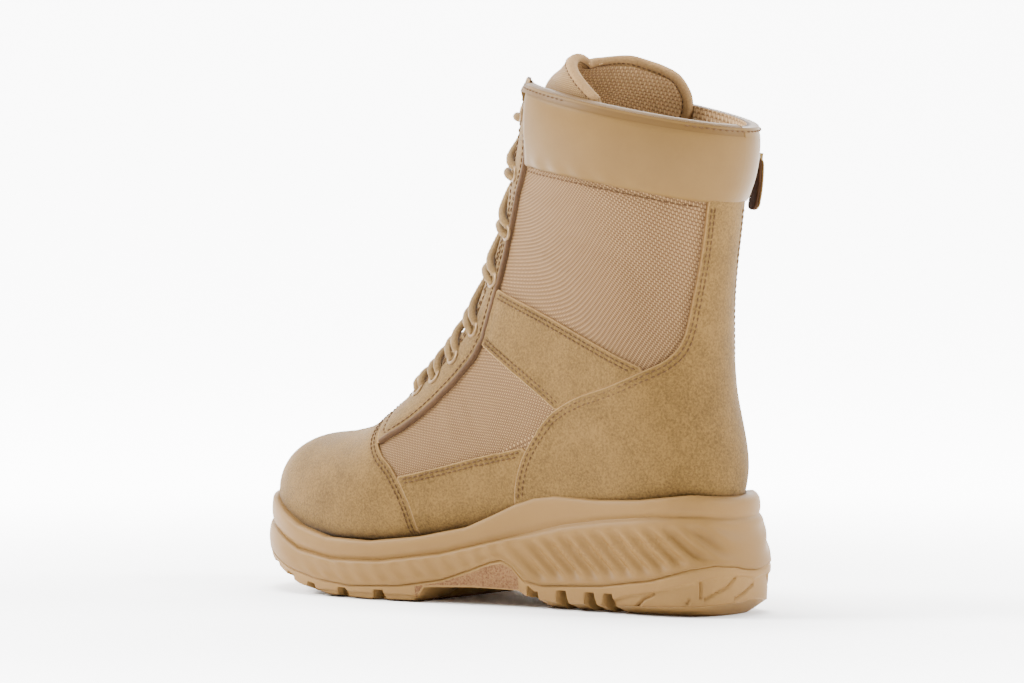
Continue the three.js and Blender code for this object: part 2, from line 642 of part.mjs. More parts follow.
const guardHalf = ZIP_GUARD_WIDTH / 2;
const corridor = zipStrip(guardHalf + CLEARANCE, ZIP_END + CLEARANCE);
const counterZone = sidePrism(behind(counterEdge), -FAR, FAR);
const counterZoneWide = sidePrism(behind(pushed(counterEdge, CLEARANCE)), -FAR, FAR);
const stayZoneWide = sidePrism(before(pushed(stayRear, CLEARANCE)), -FAR, FAR);
const half = (side) => sidePrism([corner(-FAR, -FAR), corner(FAR, -FAR), corner(FAR, FAR), corner(-FAR, FAR)],
  side > 0 ? halfGap : -FAR, side > 0 ? FAR : -halfGap);

function buildToeCap() {
  const zone = sidePrism(before(pushed(toeSeam, -halfGap)), -FAR, FAR);
  return suedeShell.intersect(overTuck).intersect(zone);
}

function buildCounter() {
  const seam = raised([corner(-FAR, collarSeam[0].y), ...collarSeam, corner(FAR, collarSeam[collarSeam.length - 1].y)],
    -CLEARANCE);
  return suedeShell.intersect(overTuck).intersect(counterZone)
    .intersect(sidePrism(belowLine(seam), -FAR, FAR)).subtract(corridor);
}

function buildQuarterBand(side) {
  const top = smoothLine(BAND_TOP, 1);
  const zone = sidePrism(behind(pushed(toeSeam, halfGap)), -FAR, FAR);
  return suedeShell.intersect(overTuck).intersect(half(side)).intersect(zone)
    .intersect(sidePrism(belowLine(top), -FAR, FAR)).subtract(counterZoneWide);
}

function buildStrap(side) {
  const top = smoothLine(STRAP_TOP, 1);
  const low = smoothLine(STRAP_LOW, 1);
  const strap = suedeShell.intersect(sidePrism([...low, ...top.reverse()], -FAR, FAR)).intersect(half(side))
    .subtract(counterZoneWide).subtract(stayZoneWide).subtract(corridor);
  return withEyeletSeats(strap, side);
}

function buildEyestay(side) {
  const zone = sidePrism(before(stayRear), -FAR, FAR);
  const overVamp = sidePrism(behind(pushed(toeSeam, halfGap)), -FAR, FAR);
  const stay = suedeShell.intersect(half(side)).intersect(zone).intersect(overVamp)
    .subtract(throat).subtract(overCollar);
  return withEyeletSeats(stay, side);
}

// Padded collar, thickest half way between its seam and its top edge

function padHeight(point) {
  const low = lineHeight(COLLAR_SEAM, point.y);
  const high = lineHeight(COLLAR_TOP, point.y);
  const t = (point.z - low) / (high - low);
  if (t <= 0 || t >= 1.15) return 0;
  return COLLAR_PAD * Math.min(1, Math.sin((Math.PI * t) / 1.15) * 1.25);
}

const padForm = form(padHeight);
const collarZone = sidePrism(aboveLine(collarSeam), -FAR, FAR);

function buildCollar(part) {
  const zipY = ZIP_LINE[1][0] * SOLE_LENGTH;
  const split = half(1).add(sidePrism(behind([corner(zipY, 0), corner(zipY, 1)]), -FAR, COLLAR_PAD));
  const whole = padForm.subtract(form(-SUEDE)).intersect(collarZone)
    .subtract(overCollar).subtract(stayZoneWide).subtract(corridor);
  return part === 'rear' ? whole.intersect(split) : whole.subtract(split);
}

// Eyelets and laces

// Angle of the form's point at a distance x from the middle plane, at the front of one section
function angleAt(s, x) {
  const side = x < 0 ? -1 : 1;
  let low = 0;
  let high = Math.PI / 2;
  for (let i = 0; i < 40; i += 1) {
    const middle = (low + high) / 2;
    if (formPoint(s, side * middle).x * side < Math.abs(x)) low = middle;
    else high = middle;
  }
  return (side * (low + high)) / 2;
}

function throatHalf(s) {
  const next = THROAT.findIndex(([place]) => place >= s);
  const [s0, a] = THROAT[next - 1];
  const [s1, b] = THROAT[next];
  return mix(a, b, (s - s0) / (s1 - s0)) * THROAT_WIDTH;
}

function eyeletPlace(s, side) {
  return { s, angle: angleAt(s, side * (throatHalf(s) + EYELET_SET_BACK)) };
}

function frameAt({ s, angle }) {
  const out = formNormal(s, angle);
  const along = formPoint(s + 0.05, angle).sub(formPoint(s - 0.05, angle));
  along.addScaledVector(out, -along.dot(out)).normalize();
  return { point: formPoint(s, angle), out, along, across: along.clone().cross(out) };
}

const EYELET_SIDES = 8;

// The round hole in the suede that an eyelet sits in
function eyeletSeat(place) {
  const { point, out, along, across } = frameAt(place);
  const radius = EYELET_DIAMETER / 2 + CLEARANCE;
  return loft([-UPPER_WALL - SUEDE, SUEDE].map((lift) => Array.from({ length: EYELET_SIDES }, (_, k) => {
    const angle = (k * 2 * Math.PI) / EYELET_SIDES;
    return point.clone().addScaledVector(out, lift).addScaledVector(along, radius * Math.cos(angle))
      .addScaledVector(across, radius * Math.sin(angle));
  })));
}

function withEyeletSeats(panel, side) {
  return EYELET_SECTIONS.reduce((rest, s) => rest.subtract(eyeletSeat(eyeletPlace(s, side))), panel);
}

// A washer with a round hole, set into the suede and standing out of it
function buildEyelet(place) {
  const { point, out, along, across } = frameAt(place);
  const outer = EYELET_DIAMETER / 2;
  const inner = EYELET_HOLE / 2;
  const top = CLEARANCE + EYELET_HEIGHT;
  const profile = [[inner, -0.5 * SUEDE], [outer, -0.5 * SUEDE], [outer - 0.2 * EYELET_HEIGHT, top], [inner, top]];
  const vertices = [];
  const triangles = [];
  for (let k = 0; k < EYELET_SIDES; k += 1) {
    const angle = (k * 2 * Math.PI) / EYELET_SIDES;
    const radial = along.clone().multiplyScalar(Math.cos(angle)).addScaledVector(across, Math.sin(angle));
    for (const [radius, lift] of profile) {
      vertices.push(point.clone().addScaledVector(out, lift).addScaledVector(radial, radius));
    }
    for (let m = 0; m < 4; m += 1) {
      const a = k * 4 + m;
      const b = k * 4 + ((m + 1) % 4);
      const c = ((k + 1) % EYELET_SIDES) * 4 + ((m + 1) % 4);
      const d = ((k + 1) % EYELET_SIDES) * 4 + m;
      triangles.push([a, b, c], [a, c, d]);
    }
  }
  return solidFrom(vertices, triangles);
}

// A cord through points, as a tube
function cord(points, radius) {
  const sides = 5;
  const rings = points.map((point, i) => {
    const ahead = points[Math.min(i + 1, points.length - 1)].clone()
      .sub(points[Math.max(i - 1, 0)]).normalize();
    const sideways = ahead.clone().cross(Y_AXIS).normalize();
    const upward = sideways.clone().cross(ahead);
    return Array.from({ length: sides }, (_, k) => {
      const angle = (k * 2 * Math.PI) / sides;
      return point.clone().addScaledVector(sideways, radius * Math.cos(angle))
        .addScaledVector(upward, radius * Math.sin(angle));
    });
  });
  return loft(rings);
}

// Crossings lie over the tongue, on a skin just proud of the eyelets. Two laces pass each
// eyelet side by side, one that arrives from the row below and one that leaves for the row above.
function buildLaces() {
  const radius = LACE_DIAMETER / 2;
  const lift = EYELET_HEIGHT + radius + 5 * CLEARANCE;
  const steps = 4;
  const beside = (row, way) => {
    const s = EYELET_SECTIONS[row];
    const stretch = formPoint(s + 0.1, 0).distanceTo(formPoint(s - 0.1, 0)) / 0.2;
    return s + (way * LACE_SPREAD * LACE_DIAMETER) / stretch;
  };
  const crossing = (from, to, side) => {
    const x0 = side * (throatHalf(from) + EYELET_SET_BACK);
    const x1 = -side * (throatHalf(to) + EYELET_SET_BACK);
    return cord(Array.from({ length: steps + 1 }, (_, i) => {
      const s = mix(from, to, i / steps);
      return offsetPoint(s, angleAt(s, mix(x0, x1, i / steps)), lift);
    }), radius);
  };
  const bars = [crossing(beside(0, -1), beside(0, -1), 1)];
  for (let row = 0; row + 1 < EYELET_SECTIONS.length; row += 1) {
    const from = beside(row, 1);
    const to = beside(row + 1, -1);
    bars.push(crossing(from, to, 1).add(crossing(from, to, -1)));
  }
  return bars;
}

// Zip on the medial side

const teethForm = form((point) => padHeight(point) + ZIP_TEETH_HEIGHT);

function buildZipGuard() {
  return padForm.subtract(form(-SUEDE)).intersect(zipStrip(guardHalf, ZIP_END))
    .subtract(zipStrip(ZIP_TAPE_WIDTH / 2 + CLEARANCE, CLEARANCE)).subtract(overCollar);
}

function buildZipChain() {
  const tape = form((point) => padHeight(point) - 0.4 * SUEDE).subtract(form(-SUEDE))
    .intersect(zipStrip(ZIP_TAPE_WIDTH / 2, 0));
  const teeth = teethForm.subtract(form(-SUEDE)).intersect(zipStrip(ZIP_TEETH_WIDTH / 2, -1));
  return tape.add(teeth).subtract(overCollar);
}

const sliderFrame = (() => {
  const [high, low] = [ZIP_LINE[1], ZIP_LINE[2]];
  const down = (high[1] - SLIDER_HEIGHT) / (high[1] - low[1]);
  const y = mix(high[0], low[0], down) * SOLE_LENGTH;
  const z = rise(SLIDER_HEIGHT);
  const { s, angle } = findOnForm(y, z, -1);
  const { point, out } = frameAt({ s, angle });
  const lift = padHeight(point) + ZIP_TEETH_HEIGHT + SLIDER_CLEARANCE;
  const across = Z_AXIS.clone().cross(out).normalize();
  const upward = out.clone().cross(across).normalize();
  return { origin: point.addScaledVector(out, lift), out, across, upward };
})();

// A block in the slider's frame: spans across, up the zip and out from the boot
function block([x0, x1], [y0, y1], [z0, z1]) {
  const { origin, out, across, upward } = sliderFrame;
  const vertex = (x, y, z) => origin.clone().addScaledVector(across, x)
    .addScaledVector(upward, y).addScaledVector(out, z);
  const ring = (z) => [vertex(x0, y0, z), vertex(x1, y0, z), vertex(x1, y1, z), vertex(x0, y1, z)];
  return loft([ring(z0), ring(z1)]);
}

const bridgeTop = SLIDER_THICKNESS + BRIDGE_HEIGHT;
const bridgeHalf = BRIDGE_WIDTH / 2;
const hingeOut = SLIDER_THICKNESS + PULL_CLEARANCE + PULL_BAR / 2;

function buildSlider() {
  const end = SLIDER_LENGTH / 2;
  const reach = BRIDGE_LENGTH / 2;
  const foot = SLIDER_THICKNESS / 2;
  const sides = [-bridgeHalf, bridgeHalf];
  return block([-SLIDER_WIDTH / 2, SLIDER_WIDTH / 2], [-end, end], [0, SLIDER_THICKNESS])
    .add(block(sides, [-reach, -reach + BRIDGE_POST], [foot, bridgeTop]))
    .add(block(sides, [reach - BRIDGE_POST, reach], [foot, bridgeTop]))
    .add(block(sides, [-reach, reach], [bridgeTop - BRIDGE_BAR, bridgeTop]));
}

// The pull hangs from a bar under the bridge, its eye round the bridge's lower post
function buildPull() {
  const edge = PULL_WIDTH / 2;
  const inner = bridgeHalf + 2 * PULL_CLEARANCE;
  const bar = PULL_BAR / 2;
  const arms = [hingeOut - bar, hingeOut + bar];
  const lap = -PULL_EYE - bar;
  return block([-edge, edge], [-bar, bar], arms)
    .add(block([-edge, -inner], [lap, 0], arms))
    .add(block([inner, edge], [lap, 0], arms))
    .add(block([-edge, edge], [-PULL_LENGTH, -PULL_EYE], [arms[0], arms[0] + PULL_THICKNESS]));
}

// Colours and finish of each piece
const FINISHES = {
  suede: { color: 0xb49a6a, roughness: 0.95, metalness: 0 },
  nylon: { color: 0xc2a37c, roughness: 0.85, metalness: 0 },
  smooth: { color: 0xb0966c, roughness: 0.45, metalness: 0 },
  rubber: { color: 0xb3946a, roughness: 0.7, metalness: 0 },
  tread: { color: 0xb89a72, roughness: 0.75, metalness: 0 },
  lining: { color: 0xa88a64, roughness: 0.95, metalness: 0 },
  lace: { color: 0xb9a272, roughness: 0.9, metalness: 0 },
  metal: { color: 0x6b5238, roughness: 0.4, metalness: 0.8 },
};

const boot = new THREE.Group();

function addPiece(name, body, finish) {
  const { numProp, vertProperties, triVerts } = body.getMesh();
  const positions = new Float32Array((vertProperties.length / numProp) * 3);
  for (let i = 0; i < positions.length / 3; i += 1) {
    for (let k = 0; k < 3; k += 1) positions[i * 3 + k] = vertProperties[i * numProp + k];
  }
  const geometry = new THREE.BufferGeometry();
  geometry.setAttribute('position', new THREE.BufferAttribute(positions, 3));
  geometry.setIndex(new THREE.BufferAttribute(triVerts, 1));
  geometry.computeVertexNormals();
  const mesh = new THREE.Mesh(geometry, new THREE.MeshStandardMaterial(FINISHES[finish]));
  mesh.name = name;
  boot.add(mesh);
}

addPiece('outsole', buildOutsole(), 'tread');
addPiece('midsole', buildMidsole(), 'rubber');
addPiece('insole', buildInsole(), 'lining');
addPiece('upper', buildUpper(), 'nylon');
addPiece('tongue', buildTongue(), 'nylon');
addPiece('toe_cap', buildToeCap(), 'suede');
addPiece('heel_counter', buildCounter(), 'suede');
for (const [name, side] of [['lateral', 1], ['medial', -1]]) {
  addPiece(`quarter_band_${name}`, buildQuarterBand(side), 'suede');
  addPiece(`ankle_strap_${name}`, buildStrap(side), 'suede');
  addPiece(`eyestay_${name}`, buildEyestay(side), 'suede');
  EYELET_SECTIONS.forEach((s, row) => {
    addPiece(`eyelet_${name}_${row + 1}`, buildEyelet(eyeletPlace(s, side)), 'metal');
  });
}
addPiece('collar_pad', buildCollar('rear'), 'smooth');
addPiece('collar_pad_front', buildCollar('front'), 'smooth');
buildLaces().forEach((bar, row) => addPiece(`lace_${row + 1}`, bar, 'lace'));
addPiece('zip_guard', buildZipGuard(), 'suede');
addPiece('zip_chain', buildZipChain(), 'metal');
addPiece('zip_slider', buildSlider(), 'metal');
addPiece('zip_pull', buildPull(), 'metal');

export default boot;
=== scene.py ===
"""The looks of a combat boot for the left foot: suede panels on nylon, a padded collar, laces,
a side zip and a moulded sole. Lengths are in millimetres until a mesh is made. +Z is up, the toe
points to -Y and +X is the outer side of the foot."""

import math

import bmesh
import bpy
import numpy as np
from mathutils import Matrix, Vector


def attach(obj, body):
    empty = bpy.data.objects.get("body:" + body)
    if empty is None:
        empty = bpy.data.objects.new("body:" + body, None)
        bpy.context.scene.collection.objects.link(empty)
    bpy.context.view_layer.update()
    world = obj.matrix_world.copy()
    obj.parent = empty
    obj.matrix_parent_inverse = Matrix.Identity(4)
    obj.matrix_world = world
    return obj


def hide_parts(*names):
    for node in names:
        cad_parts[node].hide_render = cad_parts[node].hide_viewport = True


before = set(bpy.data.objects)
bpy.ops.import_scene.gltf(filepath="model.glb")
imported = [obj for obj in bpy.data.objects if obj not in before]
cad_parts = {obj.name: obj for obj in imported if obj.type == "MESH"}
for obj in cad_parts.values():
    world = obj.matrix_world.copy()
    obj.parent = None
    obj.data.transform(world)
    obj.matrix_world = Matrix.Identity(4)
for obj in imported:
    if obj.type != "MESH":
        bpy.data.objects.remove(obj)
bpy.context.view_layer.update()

MM = 0.001
SOLE_LENGTH = 303.0
BALL_WIDTH = 109.0
COLLAR_WIDTH = 91.0
SOLE_HEIGHT = 56.0
SHAFT_HEIGHT = 206.0
THROAT_WIDTH = 40.0
SUEDE = 1.5
WALL = 2.5
COLLAR_PAD = 4.5
TONGUE_THICKNESS = 6.0
TONGUE_LEAN = 9.0
LUG_DEPTH = 5.5
LUG_GAP = 6.5
HEEL_LUG_DEPTH = 10.0
LUG_REACH = 19.0
RIB_PITCH = 11.5
RIB_DEPTH = 3.0
RIB_SLOPE = 1.15
EYELET_RADIUS = 4.3
EYELET_HOLE = 2.5
EYELET_SET_BACK = 6.5
LACE_RADIUS = 2.1
LACE_SPREAD = 2.6
ZIP_GUARD_WIDTH = 22.0
ZIP_END = 6.0
ZIP_TAPE_WIDTH = 8.4
STITCH_PITCH = 3.1
STITCH_LENGTH = 2.5
STITCH_RADIUS = 0.42

# Sections of the last, fanned from the toe tip to above the collar. Lengths are shares of the
# sole's length, heights up to 1 of its height and from 1 to 2 of the shaft's, widths of the ball's.
FOOT_SECTIONS = [
    # yTop, zTop, yLow, zLow, middle, lateral, medial, waist, nTop, nLow
    (-0.837, 0.893, -0.837, 0.786, -0.119, 0.014, 0.014, 0.50, 2.0, 2.0),
    (-0.828, 1.029, -0.828, 0.589, -0.119, 0.174, 0.142, 0.48, 2.2, 2.4),
    (-0.800, 1.078, -0.800, 0.482, -0.110, 0.298, 0.243, 0.52, 2.3, 3.0),
    (-0.749, 1.112, -0.749, 0.446, -0.092, 0.394, 0.317, 0.56, 2.4, 3.4),
    (-0.677, 1.126, -0.677, 0.429, -0.064, 0.450, 0.372, 0.60, 2.3, 3.8),
    (-0.601, 1.155, -0.587, 0.411, -0.028, 0.468, 0.413, 0.64, 2.1, 3.8),
    (-0.538, 1.218, -0.495, 0.429, 0.000, 0.450, 0.422, 0.68, 2.0, 3.6),
    (-0.482, 1.296, -0.396, 0.482, 0.018, 0.404, 0.376, 0.68, 1.9, 3.2),
    (-0.436, 1.379, -0.290, 0.554, 0.018, 0.367, 0.339, 0.66, 1.9, 3.0),
]
# The shaft's sections, their widths as shares of the collar's
SHAFT_SECTIONS = [
    (-0.399, 1.471, -0.172, 0.607, 0.011, 0.418, 0.385, 0.62, 1.9, 3.0),
    (-0.373, 1.558, -0.053, 0.625, 0.000, 0.418, 0.385, 0.60, 2.0, 2.8),
    (-0.353, 1.641, 0.059, 0.714, 0.000, 0.418, 0.396, 0.60, 2.0, 2.5),
    (-0.340, 1.718, 0.109, 1.039, 0.000, 0.418, 0.396, 0.60, 2.0, 2.2),
    (-0.327, 1.796, 0.086, 1.238, 0.000, 0.429, 0.407, 0.58, 2.0, 2.1),
    (-0.310, 1.869, 0.083, 1.442, 0.000, 0.451, 0.429, 0.55, 2.0, 2.0),
    (-0.297, 1.937, 0.099, 1.665, 0.000, 0.484, 0.473, 0.53, 2.0, 2.0),
    (-0.287, 2.000, 0.119, 1.874, 0.000, 0.505, 0.495, 0.52, 2.0, 2.0),
    (-0.251, 2.107, 0.132, 1.990, 0.000, 0.473, 0.462, 0.52, 2.0, 2.0),
]
TOP_SECTION = 17.0

# Outline of the sole from above: y as a share of its length, x of the ball's width
SOLE_PLAN = [
    (0.149, 0.000), (0.135, 0.183), (0.092, 0.303), (0.017, 0.358), (-0.083, 0.367),
    (-0.198, 0.376), (-0.314, 0.422), (-0.429, 0.477), (-0.545, 0.505), (-0.653, 0.477),
    (-0.743, 0.394), (-0.812, 0.229), (-0.848, -0.018), (-0.851, -0.147), (-0.832, -0.303),
    (-0.779, -0.413), (-0.700, -0.468), (-0.594, -0.495), (-0.479, -0.459), (-0.347, -0.385),
    (-0.231, -0.339), (-0.099, -0.339), (0.017, -0.339), (0.092, -0.284), (0.135, -0.174),
]

# Lines round the side of the sole: y as a share of its length, height as a share of its height
RIM = [
    (0.149, 1.000), (0.083, 1.014), (0.000, 1.000), (-0.083, 0.982), (-0.165, 1.000),
    (-0.205, 0.973), (-0.241, 0.911), (-0.284, 0.804), (-0.333, 0.688), (-0.419, 0.589),
    (-0.518, 0.527), (-0.611, 0.536), (-0.686, 0.618), (-0.733, 0.714), (-0.792, 0.839),
    (-0.858, 0.946),
]
GROOVE = [
    (0.149, 0.839), (0.099, 0.871), (0.026, 0.862), (-0.069, 0.814), (-0.149, 0.750),
    (-0.231, 0.643), (-0.376, 0.452), (-0.495, 0.361), (-0.594, 0.350), (-0.680, 0.411),
    (-0.756, 0.554), (-0.858, 0.714),
]
SPLIT = [
    (0.149, 0.400), (0.142, 0.440), (0.125, 0.455), (0.092, 0.416), (0.030, 0.320),
    (-0.066, 0.245), (-0.185, 0.212), (-0.218, 0.248), (-0.241, 0.370), (-0.261, 0.418),
    (-0.281, 0.396), (-0.317, 0.321), (-0.370, 0.223), (-0.449, 0.152), (-0.551, 0.125),
    (-0.627, 0.161), (-0.703, 0.241), (-0.776, 0.375), (-0.858, 0.536),
]
SKIRT = [
    (0.155, 0.214), (0.139, 0.125), (0.102, 0.100), (0.030, 0.089), (-0.066, 0.077),
    (-0.149, 0.070), (-0.208, 0.089), (-0.231, 0.154), (-0.300, 0.161), (-0.393, 0.125),
    (-0.429, 0.021), (-0.512, 0.014), (-0.601, 0.030), (-0.677, 0.095), (-0.733, 0.214),
    (-0.792, 0.321), (-0.858, 0.464),
]
TREAD = [
    (0.175, 0.170), (0.155, 0.143), (0.125, 0.021), (0.109, 0.000), (-0.198, 0.000),
    (-0.211, 0.071), (-0.228, 0.143), (-0.314, 0.161), (-0.403, 0.143), (-0.419, 0.036),
    (-0.429, 0.000), (-0.620, 0.000), (-0.677, 0.046), (-0.733, 0.143), (-0.792, 0.259),
    (-0.880, 0.440),
]
# Insets of the sole's side from its widest outline: at the sides, the heel and the toe
WALL_INSETS = {
    "ground": (12, 12, 12), "skirt": (2, 1.5, 2.5), "split": (0.9, 0.2, 1), "belly": (0.6, 1.5, 0.8),
    "shoulder": (1.8, 4.5, 1.6), "groove": (4, 6.5, 3.2), "band": (2.6, 6, 2), "crown": (2.8, 6.6, 2.2),
    "rim": (4.4, 9, 3.2), "inside": (9, 13, 8),
}
FORE_LUGS = (-0.472, -0.548, -0.624, -0.683, -0.736, -0.787)
HEEL_LUGS = (-0.187, -0.130, -0.074, -0.038)

# Seams of the upper seen from the side
TOE_SEAM = [
    (-0.558, 1.262), (-0.541, 1.141), (-0.515, 1.087), (-0.485, 1.053), (-0.459, 1.005),
    (-0.439, 0.804), (-0.432, 0.589), (-0.429, 0.268),
]
COUNTER_EDGE = [
    (-0.251, 0.357), (-0.244, 0.946), (-0.234, 1.058), (-0.215, 1.117), (-0.175, 1.189),
    (-0.122, 1.233), (-0.050, 1.267), (0.010, 1.306), (0.040, 1.335), (0.056, 1.379),
    (0.066, 1.471), (0.079, 1.587), (0.089, 1.690),
]
BAND_TOP = [(-0.520, 1.018), (-0.472, 1.029), (-0.386, 1.058), (-0.307, 1.087), (-0.180, 1.125)]
STRAP_TOP = [(-0.330, 1.500), (-0.314, 1.488), (-0.201, 1.434), (-0.089, 1.369), (0.050, 1.280)]
STRAP_LOW = [(-0.350, 1.362), (-0.337, 1.354), (-0.257, 1.291), (-0.191, 1.233), (-0.130, 1.170)]
STAY_REAR = [
    (-0.232, 2.020), (-0.234, 1.985), (-0.238, 1.874), (-0.248, 1.786), (-0.290, 1.655),
    (-0.314, 1.500), (-0.337, 1.354), (-0.370, 1.286), (-0.419, 1.214), (-0.465, 1.160),
    (-0.521, 1.112),
]
COLLAR_SEAM = [(-0.264, 1.791), (-0.248, 1.786), (-0.099, 1.752), (0.007, 1.723), (0.083, 1.699), (0.198, 1.675)]
COLLAR_TOP = [(-0.330, 2.010), (0.198, 1.850)]
TONGUE_EDGE = [
    (-0.330, 2.093), (-0.250, 2.093), (-0.236, 2.091), (-0.214, 2.086), (-0.193, 2.080), (-0.170, 2.070),
    (-0.146, 2.052), (-0.117, 2.032), (-0.088, 2.004), (-0.068, 1.940), (-0.090, 1.860), (-0.165, 1.772),
    (-0.224, 1.626),
]
ZIP_LINE = [(0.036, 1.960), (0.034, 1.883), (0.030, 1.699), (0.007, 1.456), (-0.020, 1.262), (-0.028, 1.210)]
# Half of the throat's opening at each section, as a share of its width
THROAT = [
    (5.0, -0.80), (5.9, -0.10), (6.0, 0.08), (6.15, 0.26), (6.4, 0.38), (7.0, 0.48), (7.6, 0.50),
    (8.6, 0.47), (10.0, 0.38), (11.5, 0.34), (13.0, 0.35), (15.0, 0.39), (17.0, 0.43),
]
EYELET_SECTIONS = (6.85, 7.5, 8.2, 9.0, 10.25, 11.6, 13.2, 14.9)


def rise(share):
    share = np.asarray(share, float)
    return np.where(share <= 1, share * SOLE_HEIGHT, SOLE_HEIGHT + (share - 1) * SHAFT_HEIGHT)


def side_points(table):
    shares = np.array(table)
    return np.stack([shares[:, 0] * SOLE_LENGTH, rise(shares[:, 1])], -1)


def smooth_step(low, high, value):
    t = np.clip((value - low) / (high - low), 0, 1)
    return t * t * (3 - 2 * t)


def hump(value, middle, reach):
    return np.clip(1 - ((value - middle) / reach) ** 2, 0, 1) ** 2


def curve_through(points, parts, closed=False):
    """Points of a smooth curve through the given ones, with so many parts between two of them."""
    points = np.asarray(points, float)
    count = len(points)
    spans = count if closed else count - 1
    steps = np.arange(spans * parts + (0 if closed else 1)) / parts
    i = np.minimum(steps.astype(int), spans - 1)
    t = (steps - i)[:, None]
    wrap = (lambda k: k % count) if closed else (lambda k: np.clip(k, 0, count - 1))
    p, q, r, v = (points[wrap(i + k)] for k in (-1, 0, 1, 2))
    return 0.5 * (2 * q + (r - p) * t + (2 * p - 5 * q + 4 * r - v) * t**2 + (3 * q - p - 3 * r + v) * t**3)


def line_height(table, y):
    points = side_points(table)
    points = points[np.argsort(points[:, 0])]
    return np.interp(y, points[:, 0], points[:, 1])


def unit(vectors):
    return vectors / np.maximum(np.linalg.norm(vectors, axis=-1, keepdims=True), 1e-9)


# The last's outer form

SECTIONS = np.array([
    [row[0] * SOLE_LENGTH, rise(row[1]), row[2] * SOLE_LENGTH, rise(row[3])]
    + [width * share for share in row[4:7]] + list(row[7:])
    for rows, width in ((FOOT_SECTIONS, BALL_WIDTH), (SHAFT_SECTIONS, COLLAR_WIDTH)) for row in rows
], float)


def form_skin(s, angle):
    """A point of the form: s counts the sections, angle 0 is the top or front, 90 degrees lateral."""
    s, angle = np.broadcast_arrays(np.asarray(s, float), np.asarray(angle, float))
    last = len(SECTIONS) - 1
    i = np.clip(np.floor(s).astype(int), 0, last - 1)
    t = (s - i)[..., None]
    p, q, r, v = (SECTIONS[np.clip(i + k, 0, last)] for k in (-1, 0, 1, 2))
    row = 0.5 * (2 * q + (r - p) * t + (2 * p - 5 * q + 4 * r - v) * t**2 + (3 * q - p - 3 * r + v) * t**3)
    y_top, z_top, y_low, z_low, middle, lateral, medial, waist, n_top, n_low = np.moveaxis(row, -1, 0)
    c, sine = np.cos(angle), np.sin(angle)
    power = 2 / np.where(c >= 0, n_top, n_low)
    reach = np.abs(c) ** power
    along = np.where(c >= 0, waist * (1 - reach), waist + (1 - waist) * reach)
    half = np.where(sine >= 0, lateral, -medial) * np.abs(sine) ** power
    return np.stack([middle + half, y_top + (y_low - y_top) * along, z_top + (z_low - z_top) * along], -1)


def form_normal(s, angle):
    step = 0.02
    low, high = np.maximum(s - step, 0), np.minimum(s + step, TOP_SECTION)
    across = form_skin(s, angle + step) - form_skin(s, angle - step)
    up = form_skin(high, angle) - form_skin(low, angle)
    return unit(np.cross(across, up))


def form_point(s, angle, lift=0.0):
    return form_skin(s, angle) + form_normal(s, angle) * np.asarray(lift)[..., None]


def even_values(values, lengths, count):
    return np.interp(np.linspace(0, lengths[-1], count), lengths, values)


def path_lengths(points, axis):
    steps = np.linalg.norm(np.diff(points, axis=axis), axis=-1).max(axis=1 - axis)
    return np.concatenate([[0], np.cumsum(steps)])


class Skin:
    """A fine net over the last's form, and what every panel of the upper is cut from."""

    ROWS, COLUMNS = 300, 204

    def __init__(self):
        fine_s = np.linspace(0.12, TOP_SECTION, 1000)
        fine_a = np.linspace(-np.pi, np.pi, 1441)
        front = np.abs(fine_a) < 2.3
        by_row = form_skin(fine_s[:, None], fine_a[None, front][:, ::9])
        heel_rows = form_skin(fine_s[fine_s > 11][:, None], fine_a[None, ::30])
        lengths = path_lengths(by_row, 0)
        heel = np.concatenate([np.full(len(fine_s) - len(heel_rows), 0.0), path_lengths(heel_rows, 0)])
        steps = np.maximum(np.diff(lengths), np.diff(heel))
        self.rows = even_values(fine_s, np.concatenate([[0], np.cumsum(steps)]), self.ROWS)
        by_column = form_skin(np.linspace(2, 16, 30)[:, None], fine_a[None, :])
        shown = form_skin(np.linspace(11, 16, 12)[:, None], fine_a[None, :])
        across = np.linalg.norm(np.diff(by_column, axis=1), axis=-1).max(0)
        behind = np.linalg.norm(np.diff(shown, axis=1), axis=-1).max(0)
        steps = np.where(np.abs(fine_a[1:]) < 2.3, across, behind)
        self.columns = even_values(fine_a, np.concatenate([[0], np.cumsum(steps)]), self.COLUMNS)
        self.s, self.a = np.meshgrid(self.rows, self.columns, indexing="ij")
        self.point = form_skin(self.s, self.a)
        self.y, self.z = self.point[..., 1], self.point[..., 2]
        along_s = np.gradient(self.point, self.rows, axis=0)
        along_a = np.gradient(self.point, self.columns, axis=1)
        self.ee = (along_s**2).sum(-1)
        self.ff = (along_s * along_a).sum(-1)
        self.gg = (along_a**2).sum(-1)
        index = np.arange(self.ROWS * self.COLUMNS).reshape(self.ROWS, self.COLUMNS)
        a, b, c, d = index[:-1, :-1], index[:-1, 1:], index[1:, 1:], index[1:, :-1]
        self.triangles = np.concatenate([
            np.stack([a, b, c], -1).reshape(-1, 3), np.stack([a, c, d], -1).reshape(-1, 3)])

    def gradient(self, field):
        """How fast a field changes over the skin, and the step in s and angle that climbs it."""
        by_s = np.gradient(field, self.rows, axis=0)
        by_a = np.gradient(field, self.columns, axis=1)
        area = np.maximum(self.ee * self.gg - self.ff**2, 1e-9)
        climb_s = (self.gg * by_s - self.ff * by_a) / area
        climb_a = (self.ee * by_a - self.ff * by_s) / area
        slope = np.maximum(climb_s * by_s + climb_a * by_a, 1e-4)
        return np.sqrt(slope), climb_s / slope, climb_a / slope

    def distance(self, field):
        """A field of side view distances, turned into distances over the skin."""
        slope = np.maximum(self.gradient(field)[0], 0.12)
        return np.clip(field / slope, -60, 60)


